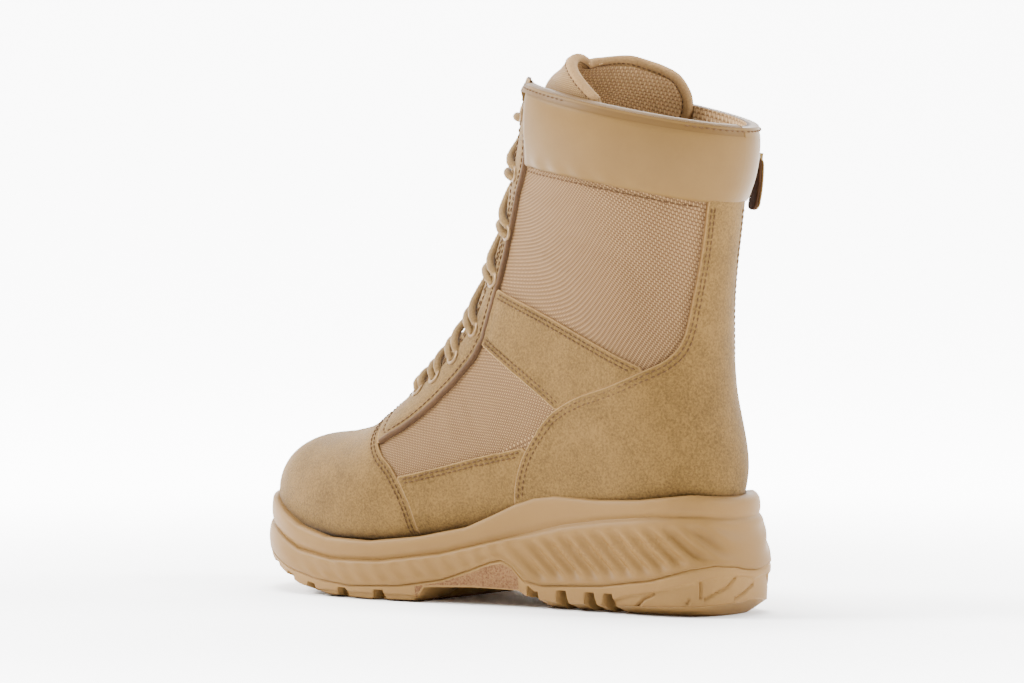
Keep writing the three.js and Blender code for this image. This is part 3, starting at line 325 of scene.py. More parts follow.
def side_distance(points, y, z):
    """Distance in the side view from a line, above 0 to its left."""
    nearest = np.full(y.shape, np.inf)
    signed = np.zeros(y.shape)
    for (py, pz), (qy, qz) in zip(points[:-1], points[1:]):
        dy, dz = qy - py, qz - pz
        length = math.hypot(dy, dz)
        t = np.clip(((y - py) * dy + (z - pz) * dz) / length**2, 0, 1)
        away = np.hypot(y - py - t * dy, z - pz - t * dz)
        side = (dy * (z - pz) - dz * (y - py)) / length
        closer = (away < nearest - 1e-7) | ((away < nearest + 1e-7) & (np.abs(side) > np.abs(signed)))
        signed = np.where(closer, np.where(side >= 0, 1, -1) * np.maximum(away, 1e-9), signed)
        nearest = np.minimum(nearest, away)
    return signed


def beside(table, towards, reach=90.0):
    """Distance over the skin from a seam, above 0 on the side of the given place in the side view."""
    points = curve_through(side_points(table), 5)
    ends = [points[0] + reach * unit(points[0] - points[1]), points[-1] + reach * unit(points[-1] - points[-2])]
    points = np.concatenate([ends[:1], points, ends[1:]])
    sign = np.sign(side_distance(points, np.array(towards[0], float), np.array(towards[1], float)))
    return skin.distance(sign * side_distance(points, skin.y, skin.z))


def throat_half(s):
    table = np.array(THROAT)
    return np.interp(s, table[:, 0], table[:, 1]) * THROAT_WIDTH


skin = Skin()
toe_side = beside(TOE_SEAM, (-220, 60))
counter_side = beside(COUNTER_EDGE, (10, 60))
under_band = beside(BAND_TOP, (-100, 40))
strap_side = np.minimum(beside(STRAP_TOP, (-60, 100)), beside(STRAP_LOW, (-40, 180)))
stay_side = beside(STAY_REAR, (-140, 180))
over_seam = beside(COLLAR_SEAM, (-30, 250))
under_top = beside(COLLAR_TOP, (-30, 150))
off_throat = np.where(np.cos(skin.a) > 0, np.abs(skin.point[..., 0]) - throat_half(skin.s), 60)
over_rim = skin.z - line_height(RIM, skin.y)
zip_across = np.where(skin.a < -0.6, beside(ZIP_LINE, (60, 180)), 60)
zip_length = np.where(skin.a < -0.6, skin.z - side_points(ZIP_LINE)[-1, 1], 60)
zip_side = np.where(zip_length > -ZIP_END, np.abs(zip_across), 60)


# Cutting panels out of the skin

def split_triangles(data, triangles, level):
    """Divides the triangles that cross a level of the third column, so that none crosses it."""
    value = data[:, 2] - level
    value[np.abs(value) < 0.16] = 0
    signs = np.sign(value)[triangles]
    crossing = (signs.max(1) > 0) & (signs.min(1) < 0)
    kept, cut, signs = triangles[~crossing], triangles[crossing], signs[crossing]
    if not len(cut):
        return data, kept
    through = (signs == 0).any(1)
    lone = np.where(through, np.argmax(signs == 0, 1),
                    np.argmax(signs == np.where(signs.sum(1) > 0, -1, 1)[:, None], 1))
    order = (lone[:, None] + np.arange(3)) % 3
    first, second, third = np.take_along_axis(cut, order, 1).T
    pairs = np.concatenate([
        np.stack([first, second], -1)[~through], np.stack([first, third], -1)[~through],
        np.stack([second, third], -1)[through]])
    low, high = pairs.min(1), pairs.max(1)
    edges, which = np.unique(np.stack([low, high], -1), axis=0, return_inverse=True)
    which = which.reshape(-1) + len(data)
    i, j = edges.T
    t = (value[i] / (value[i] - value[j]))[:, None]
    data = np.concatenate([data, data[i] * (1 - t) + data[j] * t])
    plain = int((~through).sum())
    e1, e2, e3 = which[:plain], which[plain:2 * plain], which[2 * plain:]
    f, g, h = first[~through], second[~through], third[~through]
    new = [np.stack([f, e1, e2], -1), np.stack([e1, g, h], -1), np.stack([e1, h, e2], -1)]
    f, g, h = first[through], second[through], third[through]
    new += [np.stack([f, g, e3], -1), np.stack([f, e3, h], -1)]
    return data, np.concatenate([kept, *new])


class Panel:
    """The part of the skin where a field is above 0, with its edge on the field's zero line."""

    def __init__(self, field, keep=None, levels=(0.0, 0.8)):
        snap = 0.5
        slope, climb_s, climb_a = skin.gradient(field)
        step = np.where(np.abs(field) < snap, field, 0)
        s = np.clip(skin.s - step * climb_s * slope, skin.rows[0], TOP_SECTION)
        a = np.clip(skin.a - step * climb_a * slope, -np.pi, np.pi)
        a[:, [0, -1]] = skin.a[:, [0, -1]]
        value = np.where(np.abs(field) < snap, 0, field)
        data = np.stack([s, a, value], -1).reshape(-1, 3)
        inside = value.ravel() > 0
        if keep is not None:
            wanted = keep.ravel() > 0
            triangles = skin.triangles[wanted[skin.triangles].all(1) & inside[skin.triangles].any(1)]
        else:
            triangles = skin.triangles[inside[skin.triangles].any(1)]
        for level in levels:
            data, triangles = split_triangles(data, triangles, level)
        middle = data[triangles, 2].mean(1)
        triangles = triangles[middle > 0]
        used, triangles = np.unique(triangles, return_inverse=True)
        self.data = data[used]
        self.triangles = triangles.reshape(-1, 3)
        self.s, self.a, self.edge = self.data.T
        self.edge = np.maximum(self.edge, 0)
        self.skin_point = form_skin(self.s, self.a)
        self.y, self.z = self.skin_point[:, 1], self.skin_point[:, 2]

    def rim_edges(self):
        edges = np.concatenate([self.triangles[:, [0, 1]], self.triangles[:, [1, 2]], self.triangles[:, [2, 0]]])
        keys = edges.min(1) * len(self.s) + edges.max(1)
        _, inverse, counts = np.unique(keys, return_inverse=True, return_counts=True)
        single = edges[counts[inverse.reshape(-1)] == 1]
        return single[(self.edge[single] < 0.17).all(1)]

    def build(self, lift, drop):
        """Vertices, faces, and for each vertex the distance to the edge. Walls go down to drop."""
        top = form_point(self.s, self.a, lift)
        rim = self.rim_edges()
        used, local = np.unique(rim, return_inverse=True)
        local = local.reshape(-1, 2)
        wall_top = top[used]
        wall_low = form_point(self.s[used], self.a[used], np.minimum(drop, lift[used] - 0.3))
        first, second = len(top), len(top) + len(used)
        walls = np.stack([first + local[:, 1], first + local[:, 0], second + local[:, 0], second + local[:, 1]], -1)
        edge = np.concatenate([self.edge, np.zeros(2 * len(used))])
        return np.concatenate([top, wall_top, wall_low]), self.triangles.tolist() + walls.tolist(), edge, len(walls)


def contours(field, level, allowed=None):
    """Lines over the skin where a field has one value, as runs of s and angle."""
    value = field.ravel() - level
    value = np.where(np.abs(value) < 1e-6, 1e-6, value)
    triangles = skin.triangles
    if allowed is not None:
        triangles = triangles[(allowed.ravel() > 0)[triangles].all(1)]
    signs = np.sign(value)[triangles]
    triangles = triangles[np.abs(signs.sum(1)) == 1]
    signs = np.sign(value)[triangles]
    lone = np.argmax(signs == -signs.sum(1)[:, None], 1)
    first = triangles[np.arange(len(triangles)), lone]
    links = []
    for k in (1, 2):
        other = triangles[np.arange(len(triangles)), (lone + k) % 3]
        links.append(np.stack([np.minimum(first, other), np.maximum(first, other)], -1))
    edges, which = np.unique(np.concatenate(links), axis=0, return_inverse=True)
    which = which.reshape(2, -1).T
    i, j = edges.T
    t = value[i] / (value[i] - value[j])
    s = skin.s.ravel()[i] * (1 - t) + skin.s.ravel()[j] * t
    a = skin.a.ravel()[i] * (1 - t) + skin.a.ravel()[j] * t
    neighbours = [[] for _ in range(len(edges))]
    for p, q in which.tolist():
        neighbours[p].append(q)
        neighbours[q].append(p)
    seen, runs = set(), []
    starts = [k for k, near in enumerate(neighbours) if len(near) == 1] + list(range(len(edges)))
    for start in starts:
        if start in seen:
            continue
        run, here = [start], start
        seen.add(start)
        while True:
            ahead = [n for n in neighbours[here] if n not in seen]
            if not ahead:
                break
            here = ahead[0]
            seen.add(here)
            run.append(here)
        if len(run) > 3:
            runs.append(np.stack([s[run], a[run]], -1))
    return runs


def paced(run, pitch, lift, smooth=3):
    """Even paces along a run: middle points, forward directions and outward directions."""
    if smooth:
        padded_run = np.concatenate([np.repeat(run[:1], smooth, 0), run, np.repeat(run[-1:], smooth, 0)])
        kernel = np.ones(2 * smooth + 1) / (2 * smooth + 1)
        run = np.stack([np.convolve(padded_run[:, k], kernel, "valid") for k in (0, 1)], -1)
    points = form_skin(run[:, 0], run[:, 1])
    lengths = np.concatenate([[0], np.cumsum(np.linalg.norm(np.diff(points, axis=0), axis=1))])
    count = int(lengths[-1] / pitch)
    if count < 1:
        return None
    where = (np.arange(count) + 0.5) * lengths[-1] / count
    at = lambda shift: np.stack([np.interp(where + shift, lengths, run[:, k]) for k in (0, 1)], -1)
    here, ahead, behind = at(0), at(0.8), at(-0.8)
    out = form_normal(here[:, 0], here[:, 1])
    forward = unit(form_skin(ahead[:, 0], ahead[:, 1]) - form_skin(behind[:, 0], behind[:, 1]))
    return form_point(here[:, 0], here[:, 1], np.full(count, lift)), forward, out


# Making meshes

def add_mesh(name, vertices, faces, materials, slot, sharp=None, body="boot"):
    mesh = bpy.data.meshes.new(name)
    mesh.from_pydata((np.asarray(vertices) * MM).tolist(), [], faces if isinstance(faces, list) else faces.tolist())
    mesh.validate()
    for material in materials:
        mesh.materials.append(material)
    mesh.polygons.foreach_set("use_smooth", np.ones(len(mesh.polygons), bool))
    if sharp is not None:
        mesh.set_sharp_from_angle(angle=math.radians(sharp))
    piece = bpy.data.objects.new(name, mesh)
    bpy.context.scene.collection.objects.link(piece)
    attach(piece, body)
    return piece


def weld(piece, reach=0.002):
    body = bmesh.new()
    body.from_mesh(piece.data)
    bmesh.ops.remove_doubles(body, verts=body.verts, dist=reach * MM)
    body.to_mesh(piece.data)
    body.free()


def paint_edge(piece, edge):
    """Stores each vertex's distance to the panel's edge, for the colour near it: paler cut edges and painted seam
    shade.
    """
    attribute = piece.data.attributes.new("edge_mm", "FLOAT", "POINT")
    attribute.data.foreach_set("value", np.asarray(edge, np.float32))


def net_faces(rows, columns, closed=False, flip=False):
    """Quads of a net of points, row by row, joined round where closed."""
    i = np.arange(rows - 1)[:, None]
    j = np.arange(columns if closed else columns - 1)[None, :]
    k = (j + 1) % columns
    quads = np.stack([i * columns + j, i * columns + k, (i + 1) * columns + k, (i + 1) * columns + j], -1)
    quads = quads.reshape(-1, 4)
    return quads[:, ::-1] if flip else quads


def sheet(name, panel, lift, drop, material, slot, edge_material=None):
    """A panel of the upper as a mesh, its cut edge in a material of its own."""
    vertices, faces, edge, walls = panel.build(lift, drop)
    piece = add_mesh(name, vertices, faces, [material, edge_material or material], slot)
    tags = np.zeros(len(faces), np.int32)
    if walls:
        tags[-walls:] = 1
    if len(piece.data.polygons) == len(faces):
        piece.data.polygons.foreach_set("material_index", tags)
    paint_edge(piece, edge)
    return piece


def tube(path, radius, sides, closed_ends=True, twist=None):
    """A round cord along a path, as vertices and faces. Twist turns its three strands a millimetre."""
    path = np.asarray(path, float)
    ahead = unit(np.gradient(path, axis=0))
    side = np.cross(ahead[0], [0.3, 0.2, 1.0])
    sides_frame = []
    for direction in ahead:
        side = unit(side - direction * np.dot(side, direction))
        sides_frame.append(side)
    side = np.array(sides_frame)
    up = np.cross(ahead, side)
    turn = np.arange(sides) * 2 * np.pi / sides
    radii = np.broadcast_to(np.asarray(radius, float), (len(path),))[:, None] * np.ones(sides)
    if twist:
        run = np.concatenate([[0], np.cumsum(np.linalg.norm(np.diff(path, axis=0), axis=1))])
        radii = radii * (0.94 + 0.09 * np.cos(2 * turn[None] + run[:, None] * twist) ** 2
                         + 0.05 * np.cos(2 * turn[None] - run[:, None] * twist) ** 2)
    rings = (path[:, None] + radii[..., None] * (side[:, None] * np.cos(turn)[None, :, None]
                                                 + up[:, None] * np.sin(turn)[None, :, None]))
    faces = net_faces(len(path), sides, closed=True).tolist()
    if closed_ends:
        faces += [list(range(sides))[::-1], [(len(path) - 1) * sides + k for k in range(sides)]]
    return rings.reshape(-1, 3), faces


def joined(parts):
    vertices, faces, start = [], [], 0
    for points, polygons in parts:
        vertices.append(points)
        faces += [[start + k for k in polygon] for polygon in polygons]
        start += len(points)
    return np.concatenate(vertices), faces


def stitch_mesh(centres, forward, out, length, radius):
    """Short rounded stitches, sunk at both ends."""
    rings, sides = 5, 6
    t = np.linspace(-1, 1, rings)
    width = np.array([0.45, 0.9, 1.0, 0.9, 0.45]) * radius
    height = np.array([-0.9, -0.1, 0.15, -0.1, -0.9]) * radius
    turn = np.arange(sides) * 2 * np.pi / sides
    across = unit(np.cross(out, forward))
    local = np.stack([
        np.broadcast_to(t[:, None] * length / 2, (rings, sides)),
        width[:, None] * np.cos(turn), height[:, None] + width[:, None] * np.sin(turn) * 0.9], -1).reshape(-1, 3)
    vertices = (centres[:, None] + local[None, :, 0:1] * forward[:, None]
                + local[None, :, 1:2] * across[:, None] + local[None, :, 2:3] * out[:, None])
    quads = net_faces(rings, sides, closed=True)
    faces = (quads[None] + (np.arange(len(centres)) * rings * sides)[:, None, None]).reshape(-1, 4)
    return vertices.reshape(-1, 3), faces.tolist()


class Threads:
    """All the stitches of one colour, gathered into one mesh."""

    def __init__(self):
        self.parts = []

    def along(self, runs, lift, pitch=STITCH_PITCH, length=STITCH_LENGTH, radius=STITCH_RADIUS):
        for run in runs:
            places = paced(run, pitch, lift)
            if places is not None:
                self.parts.append(stitch_mesh(*places, length, radius))

    def build(self, name, material, slot):
        return add_mesh(name, *joined(self.parts), [material], slot)


# Materials

def node(tree, kind, x=0, y=0, **values):
    made = tree.nodes.new(kind)
    made.location = (x, y)
    for key, value in values.items():
        setattr(made, key, value)
    return made


def new_group(name, inputs, outputs):
    """A shader node group with named inputs and outputs, and its two end nodes."""
    tree = bpy.data.node_groups.new(name, "ShaderNodeTree")
    for label, kind, default in inputs:
        tree.interface.new_socket(name=label, in_out="INPUT", socket_type=kind).default_value = default
    for label, kind in outputs:
        tree.interface.new_socket(name=label, in_out="OUTPUT", socket_type=kind)
    return tree, node(tree, "NodeGroupInput", -900), node(tree, "NodeGroupOutput", 700)


def noise_node(tree, place, scale, detail=4.0, roughness=0.6, x=-500, y=0):
    made = node(tree, "ShaderNodeTexNoise", x, y)
    made.inputs["Detail"].default_value = detail
    made.inputs["Roughness"].default_value = roughness
    made.inputs["Scale"].default_value = scale
    tree.links.new(place, made.inputs["Vector"])
    return made


def math_node(tree, operation, first, second, clamp=False):
    made = node(tree, "ShaderNodeMath", operation=operation, use_clamp=clamp)
    for socket, value in zip(made.inputs, (first, second)):
        if isinstance(value, (int, float)):
            socket.default_value = value
        else:
            tree.links.new(value, socket)
    return made.outputs[0]


def mix_colour(tree, share, first, second):
    made = node(tree, "ShaderNodeMix", data_type="RGBA")
    for key, value in ((0, share), (6, first), (7, second)):
        if isinstance(value, (int, float, tuple)):
            made.inputs[key].default_value = value
        else:
            tree.links.new(value, made.inputs[key])
    return made.outputs[2]


def grain_group():
    """A napped or moulded surface: cloudy patches, short fibres and a fine grain."""
    tree, given, result = new_group("surface_grain", [
        ("Place", "NodeSocketVector", (0, 0, 0)), ("Base", "NodeSocketColor", (0.5, 0.4, 0.3, 1)),
        ("Shade", "NodeSocketColor", (0.4, 0.3, 0.2, 1)), ("Patches", "NodeSocketFloat", 0.4),
        ("Speckle", "NodeSocketFloat", 0.3), ("Roughness", "NodeSocketFloat", 0.9),
    ], [("Color", "NodeSocketColor"), ("Roughness", "NodeSocketFloat"), ("Height", "NodeSocketFloat")])
    place = given.outputs["Place"]
    cloud = noise_node(tree, place, 45.0, 5.0, 0.6, y=300).outputs["Fac"]
    fibres = noise_node(tree, place, 900.0, 3.0, 0.7).outputs["Fac"]
    fine = noise_node(tree, place, 2600.0, 2.0, 0.6, y=-300).outputs["Fac"]
    patches = math_node(tree, "MULTIPLY", math_node(tree, "SUBTRACT", cloud, 0.42), given.outputs["Patches"])
    specks = math_node(tree, "MULTIPLY", math_node(tree, "SUBTRACT", fibres, 0.5), given.outputs["Speckle"])
    total = math_node(tree, "ADD", math_node(tree, "MULTIPLY", patches, 4.0),
                      math_node(tree, "MULTIPLY", specks, 3.0))
    share = math_node(tree, "ADD", total, 0.3, clamp=True)
    tree.links.new(mix_colour(tree, share, given.outputs["Base"], given.outputs["Shade"]), result.inputs["Color"])
    rough = math_node(tree, "ADD", given.outputs["Roughness"], math_node(tree, "MULTIPLY", specks, -0.5), clamp=True)
    tree.links.new(rough, result.inputs["Roughness"])
    height = math_node(tree, "ADD", math_node(tree, "MULTIPLY", fibres, 0.6), math_node(tree, "MULTIPLY", fine, 0.4))
    tree.links.new(height, result.inputs["Height"])
    return tree


def seam_group():
    """An edge colour mixed into a narrow band along a panel's edge: a paler cut edge on the suede, a darker band of
    painted shade on the collar leather.
    """
    tree, given, result = new_group("cut_edge_and_seam_shade", [
        ("Base", "NodeSocketColor", (0.5, 0.4, 0.3, 1)), ("Edge", "NodeSocketColor", (0.3, 0.2, 0.1, 1)),
        ("Width", "NodeSocketFloat", 0.9), ("Strength", "NodeSocketFloat", 0.6),
    ], [("Color", "NodeSocketColor")])
    edge = node(tree, "ShaderNodeAttribute", -700, -200, attribute_name="edge_mm").outputs["Fac"]
    near = node(tree, "ShaderNodeMapRange", -400, -200, interpolation_type="SMOOTHSTEP")
    tree.links.new(edge, near.inputs["Value"])
    tree.links.new(given.outputs["Width"], near.inputs["From Max"])
    near.inputs["To Min"].default_value = 1.0
    near.inputs["To Max"].default_value = 0.0
    share = math_node(tree, "MULTIPLY", near.outputs["Result"], given.outputs["Strength"])
    tree.links.new(mix_colour(tree, share, given.outputs["Base"], given.outputs["Edge"]), result.inputs["Color"])
    return tree


def weave_group():
    """A plain ballistic weave: warp and weft floats that pass over each other by turns, coloured by their height:
    painted shade down in the valleys and a painted highlight on the crowns.
    """
    tree, given, result = new_group("ballistic_weave", [
        ("Base", "NodeSocketColor", (0.5, 0.4, 0.3, 1)), ("Valley shade", "NodeSocketColor", (0.3, 0.2, 0.1, 1)),
        ("Pitch", "NodeSocketFloat", 1.0),
    ], [("Color", "NodeSocketColor"), ("Height", "NodeSocketFloat")])
    place = node(tree, "ShaderNodeUVMap", -1100, 200, uv_map="cloth_mm").outputs["UV"]
    split = node(tree, "ShaderNodeSeparateXYZ", -900, 200)
    tree.links.new(place, split.inputs[0])
    turns = math_node(tree, "DIVIDE", math.pi, given.outputs["Pitch"])
    u = math_node(tree, "MULTIPLY", split.outputs[0], turns)
    v = math_node(tree, "MULTIPLY", split.outputs[1], turns)
    ripple_u, ripple_v = math_node(tree, "SINE", u, 0.0), math_node(tree, "SINE", v, 0.0)
    over = math_node(tree, "MULTIPLY", ripple_u, ripple_v)
    thread_u = math_node(tree, "ABSOLUTE", ripple_u, 0.0)
    thread_v = math_node(tree, "ABSOLUTE", ripple_v, 0.0)
    pick = math_node(tree, "GREATER_THAN", over, 0.0)
    height = math_node(tree, "ADD", math_node(tree, "MULTIPLY", thread_u, pick),
                       math_node(tree, "MULTIPLY", thread_v, math_node(tree, "SUBTRACT", 1.0, pick)))
    # Painted highlight on the crowns where a float passes over; the lower threads fade to the painted shade of the
    # valleys.
    bright = math_node(tree, "MULTIPLY", math_node(tree, "ABSOLUTE", over, 0.0), pick)
    share = math_node(tree, "ADD", math_node(tree, "MULTIPLY", height, 0.45),
                      math_node(tree, "MULTIPLY", bright, 0.6), clamp=True)
    tree.links.new(mix_colour(tree, share, given.outputs["Valley shade"], given.outputs["Base"]), result.inputs["Color"])
    tree.links.new(height, result.inputs["Height"])
    return tree


GRAIN, SEAM, WEAVE = grain_group(), seam_group(), weave_group()


def start_material(name, roughness, sheen=0.0, specular=0.12, metallic=0.0):
    material = bpy.data.materials.new(name)
    material.use_nodes = True
    tree = material.node_tree
    shader = tree.nodes["Principled BSDF"]
    shader.inputs["Roughness"].default_value = roughness
    shader.inputs["Metallic"].default_value = metallic
    shader.inputs["Specular IOR Level"].default_value = specular
    if sheen:
        shader.inputs["Sheen Weight"].default_value = sheen
        shader.inputs["Sheen Roughness"].default_value = 0.45
    return material, tree, shader


def add_bump(tree, shader, height, depth_mm, strength=1.0):
    bump = node(tree, "ShaderNodeBump", -200, -300)
    bump.inputs["Strength"].default_value = strength
    bump.inputs["Distance"].default_value = depth_mm * MM
    tree.links.new(height, bump.inputs["Height"])
    tree.links.new(bump.outputs["Normal"], shader.inputs["Normal"])


def grained(name, base, shade, roughness, patches=0.3, speckle=0.3, depth=0.1, edge=None, **looks):
    material, tree, shader = start_material(name, roughness, **looks)
    place = node(tree, "ShaderNodeTexCoord", -900).outputs["Object"]
    grain = node(tree, "ShaderNodeGroup", -600, node_tree=GRAIN)
    tree.links.new(place, grain.inputs["Place"])
    for label, value in (("Base", (*base, 1)), ("Shade", (*shade, 1)), ("Patches", patches),
                         ("Speckle", speckle), ("Roughness", roughness)):
        grain.inputs[label].default_value = value
    colour = grain.outputs["Color"]
    if edge:
        seam = node(tree, "ShaderNodeGroup", -300, node_tree=SEAM)
        tree.links.new(colour, seam.inputs["Base"])
        seam.inputs["Edge"].default_value = (*edge, 1)
        colour = seam.outputs["Color"]
    tree.links.new(colour, shader.inputs["Base Color"])
    tree.links.new(grain.outputs["Roughness"], shader.inputs["Roughness"])
    add_bump(tree, shader, grain.outputs["Height"], depth)
    return material


def woven(name, base, valley_shade, pitch, roughness=0.75, depth=0.16, sheen=0.0):
    material, tree, shader = start_material(name, roughness, sheen=sheen)
    weave = node(tree, "ShaderNodeGroup", -500, node_tree=WEAVE)
    for label, value in (("Base", (*base, 1)), ("Valley shade", (*valley_shade, 1)), ("Pitch", pitch)):
        weave.inputs[label].default_value = value
    tree.links.new(weave.outputs["Color"], shader.inputs["Base Color"])
    add_bump(tree, shader, weave.outputs["Height"], depth)
    return material


DYE = 0.42


def shade(red, green, blue):
    """A dye's colour from how it looks on a screen in bright light."""
    return tuple(DYE * ((v / 255 + 0.055) / 1.055) ** 2.4 for v in (red, green, blue))


suede = grained("suede_nap", shade(146, 113, 64), shade(98, 74, 38), 0.95, patches=0.3, speckle=0.9,
                depth=0.3, edge=shade(196, 154, 100), sheen=0.08, specular=0.06)
cut_edge = grained("suede_cut_edge", shade(180, 138, 88), shade(130, 96, 58), 0.95, speckle=0.6, specular=0.05)
bound_edge = grained("stay_bound_edge", shade(104, 74, 44), shade(70, 48, 28), 0.9, speckle=0.5, specular=0.2)
# Each weave's second colour is the painted shade of its valleys.
nylon = woven("upper_ballistic_nylon", shade(196, 154, 104), shade(84, 56, 30), 1.05, depth=0.2)
tongue_nylon = woven("tongue_nylon", shade(200, 160, 104), shade(112, 80, 44), 1.0)
# The lining is coloured far lighter than the cloth itself: painted light for the inside of the boot and the back of the
# tongue, where the lamps hardly reach.
air_mesh_with_painted_light = woven("lining_air_mesh", shade(290, 240, 176), shade(190, 146, 98), 2.0, roughness=0.9, depth=0.35)
# The collar leather's darker edge colour is painted shade along its seams.
leather = grained("collar_leather", shade(140, 108, 62), shade(124, 94, 52), 0.45, patches=0.2, speckle=0.1,
                  depth=0.05, edge=shade(104, 76, 42), specular=0.06)
foam = grained("midsole_foam", shade(160, 122, 68), shade(146, 108, 58), 0.55, patches=0.15, speckle=0.12, depth=0.05)
rubber = grained("tread_rubber", shade(176, 136, 80), shade(158, 118, 66), 0.6, patches=0.15, speckle=0.15, depth=0.06)
stipple = grained("arch_stippled_rubber", shade(166, 122, 80), shade(112, 76, 46), 0.8, speckle=1.2, depth=0.5)
felt = grained("insole_felt", shade(120, 96, 68), shade(88, 68, 46), 0.95, speckle=0.7, depth=0.2)
thread = grained("stitch_thread", shade(112, 80, 46), shade(84, 58, 32), 0.7, speckle=0.3, depth=0.05)
lace_cord = grained("lace_cord", shade(166, 132, 82), shade(104, 76, 42), 0.85, speckle=0.6, depth=0.15, sheen=0.1)
brass = grained("zip_brass", shade(176, 146, 92), shade(120, 92, 52), 0.35, speckle=0.3, depth=0.02, metallic=0.9)
eyelet_metal = grained("eyelet_coated_metal", shade(168, 136, 96), shade(130, 100, 66), 0.45, speckle=0.2,
                       depth=0.02, metallic=0.6)
pull_rubber = grained("pull_rubber", shade(160, 126, 80), shade(140, 108, 66), 0.6, speckle=0.15, depth=0.05)
pull_core = grained("pull_core", shade(84, 56, 36), shade(58, 38, 24), 0.8, speckle=0.2, depth=0.05, specular=0.03)


# Lie of the cloth and leather

# Soft folds, listed one by one: middle y and z, direction in degrees, half length, half width, depth
FOLDS = [
    (-96, 128, -28, 26, 3.2, -0.8), (-84, 120, -26, 30, 3.6, 0.7), (-70, 150, -24, 22, 3.0, -0.5),
    (-62, 172, -18, 28, 4.5, 0.7), (-20, 176, -20, 24, 5.0, -0.6), (-104, 96, -58, 14, 3.0, -0.6),
    (-116, 90, -62, 16, 3.4, 0.5), (-30, 108, 4, 26, 5.5, 0.5), (4, 150, -70, 26, 6.0, -0.6),
    (-8, 204, -16, 30, 4.0, -0.5), (-64, 200, -12, 22, 3.6, 0.5), (-150, 78, -48, 14, 4.0, 0.4),
]


def fold_lift(y, z):
    total = np.zeros(np.shape(y))
    for middle_y, middle_z, turn, reach, width, depth in FOLDS:
        c, sine = math.cos(math.radians(turn)), math.sin(math.radians(turn))
        along = (y - middle_y) * c + (z - middle_z) * sine
        away = (z - middle_z) * c - (y - middle_y) * sine
        total = total + depth * np.exp(-(along / reach) ** 2 - (away / width) ** 2)
    return total


def collar_share(y, z):
    seam = line_height(COLLAR_SEAM, y)
    top = line_height(COLLAR_TOP, y)
    return (z - seam) / (top - seam)


def collar_lift(y, z):
    """The padding's bulge, tucked in at its seam and at the top, with soft puckers."""
    share = np.clip(collar_share(y, z), 0, 1)
    bulge = np.sin(np.pi * np.clip(share / 1.12, 0, 1)) ** 0.6
    pucker = 0.35 * np.sin(y * 0.42 + 1.3 * np.sin(z * 0.21)) * np.exp(-((share - 0.05) / 0.12) ** 2)
    dip = -0.6 * np.exp(-((z - line_height(COLLAR_TOP, y) + 3.4) / 0.8) ** 2)
    return COLLAR_PAD * 0.92 * bulge + pucker + dip * (y < 58)


def tongue_lean(y, z):
    """How far the padded front of the tongue leans back, with its top rolled over."""
    roll = np.clip((z - rise(1.98)) / 19, 0, 1.1) ** 2.5
    at_front = smooth_step(-0.1 * SOLE_LENGTH, -0.24 * SOLE_LENGTH, y)
    return (0.6 * TONGUE_LEAN * smooth_step(rise(1.7), rise(2.0), z) + TONGUE_LEAN * roll) * at_front


def cloth_uv(piece, s, a, count):
    """The cloth's own directions: round the boot and up it, in millimetres."""
    middle = form_skin(skin.rows, np.zeros(len(skin.rows)) + 1.2)
    up = np.concatenate([[0], np.cumsum(np.linalg.norm(np.diff(middle, axis=0), axis=1))])
    ring = form_skin(np.full(len(skin.columns), 13.0), skin.columns)
    round_it = np.concatenate([[0], np.cumsum(np.linalg.norm(np.diff(ring, axis=0), axis=1))])
    v = np.interp(s, skin.rows, up)
    u = np.interp(a, skin.columns, round_it)
    uv = np.zeros((count, 2), np.float32)
    uv[:len(u), 0], uv[:len(v), 1] = u, v
    layer = piece.data.uv_layers.new(name="cloth_mm")
    corners = np.zeros(len(piece.data.loops), np.int32)
    piece.data.loops.foreach_get("vertex_index", corners)
    layer.data.foreach_set("uv", uv[corners].ravel())


def bilinear(grid, s, a):
    i = np.interp(s, skin.rows, np.arange(len(skin.rows)))
    j = np.interp(a, skin.columns, np.arange(len(skin.columns)))
    i0, j0 = np.minimum(i.astype(int), len(skin.rows) - 2), np.minimum(j.astype(int), len(skin.columns) - 2)
    p, q = i - i0, j - j0
    return ((1 - p) * (1 - q) * grid[i0, j0] + p * (1 - q) * grid[i0 + 1, j0]
            + (1 - p) * q * grid[i0, j0 + 1] + p * q * grid[i0 + 1, j0 + 1])


def even_run(run, pitch, smooth=4):
    """The same line with even steps, its jitter taken out."""
    if smooth and len(run) > 2 * smooth:
        ends = np.concatenate([np.repeat(run[:1], smooth, 0), run, np.repeat(run[-1:], smooth, 0)])
        kernel = np.ones(2 * smooth + 1) / (2 * smooth + 1)
        run = np.stack([np.convolve(ends[:, k], kernel, "valid") for k in (0, 1)], -1)
    points = form_skin(run[:, 0], run[:, 1])
    lengths = np.concatenate([[0], np.cumsum(np.linalg.norm(np.diff(points, axis=0), axis=1))])
    count = max(int(lengths[-1] / pitch), 2)
    where = np.linspace(0, lengths[-1], count + 1)
    return np.stack([np.interp(where, lengths, run[:, k]) for k in (0, 1)], -1)


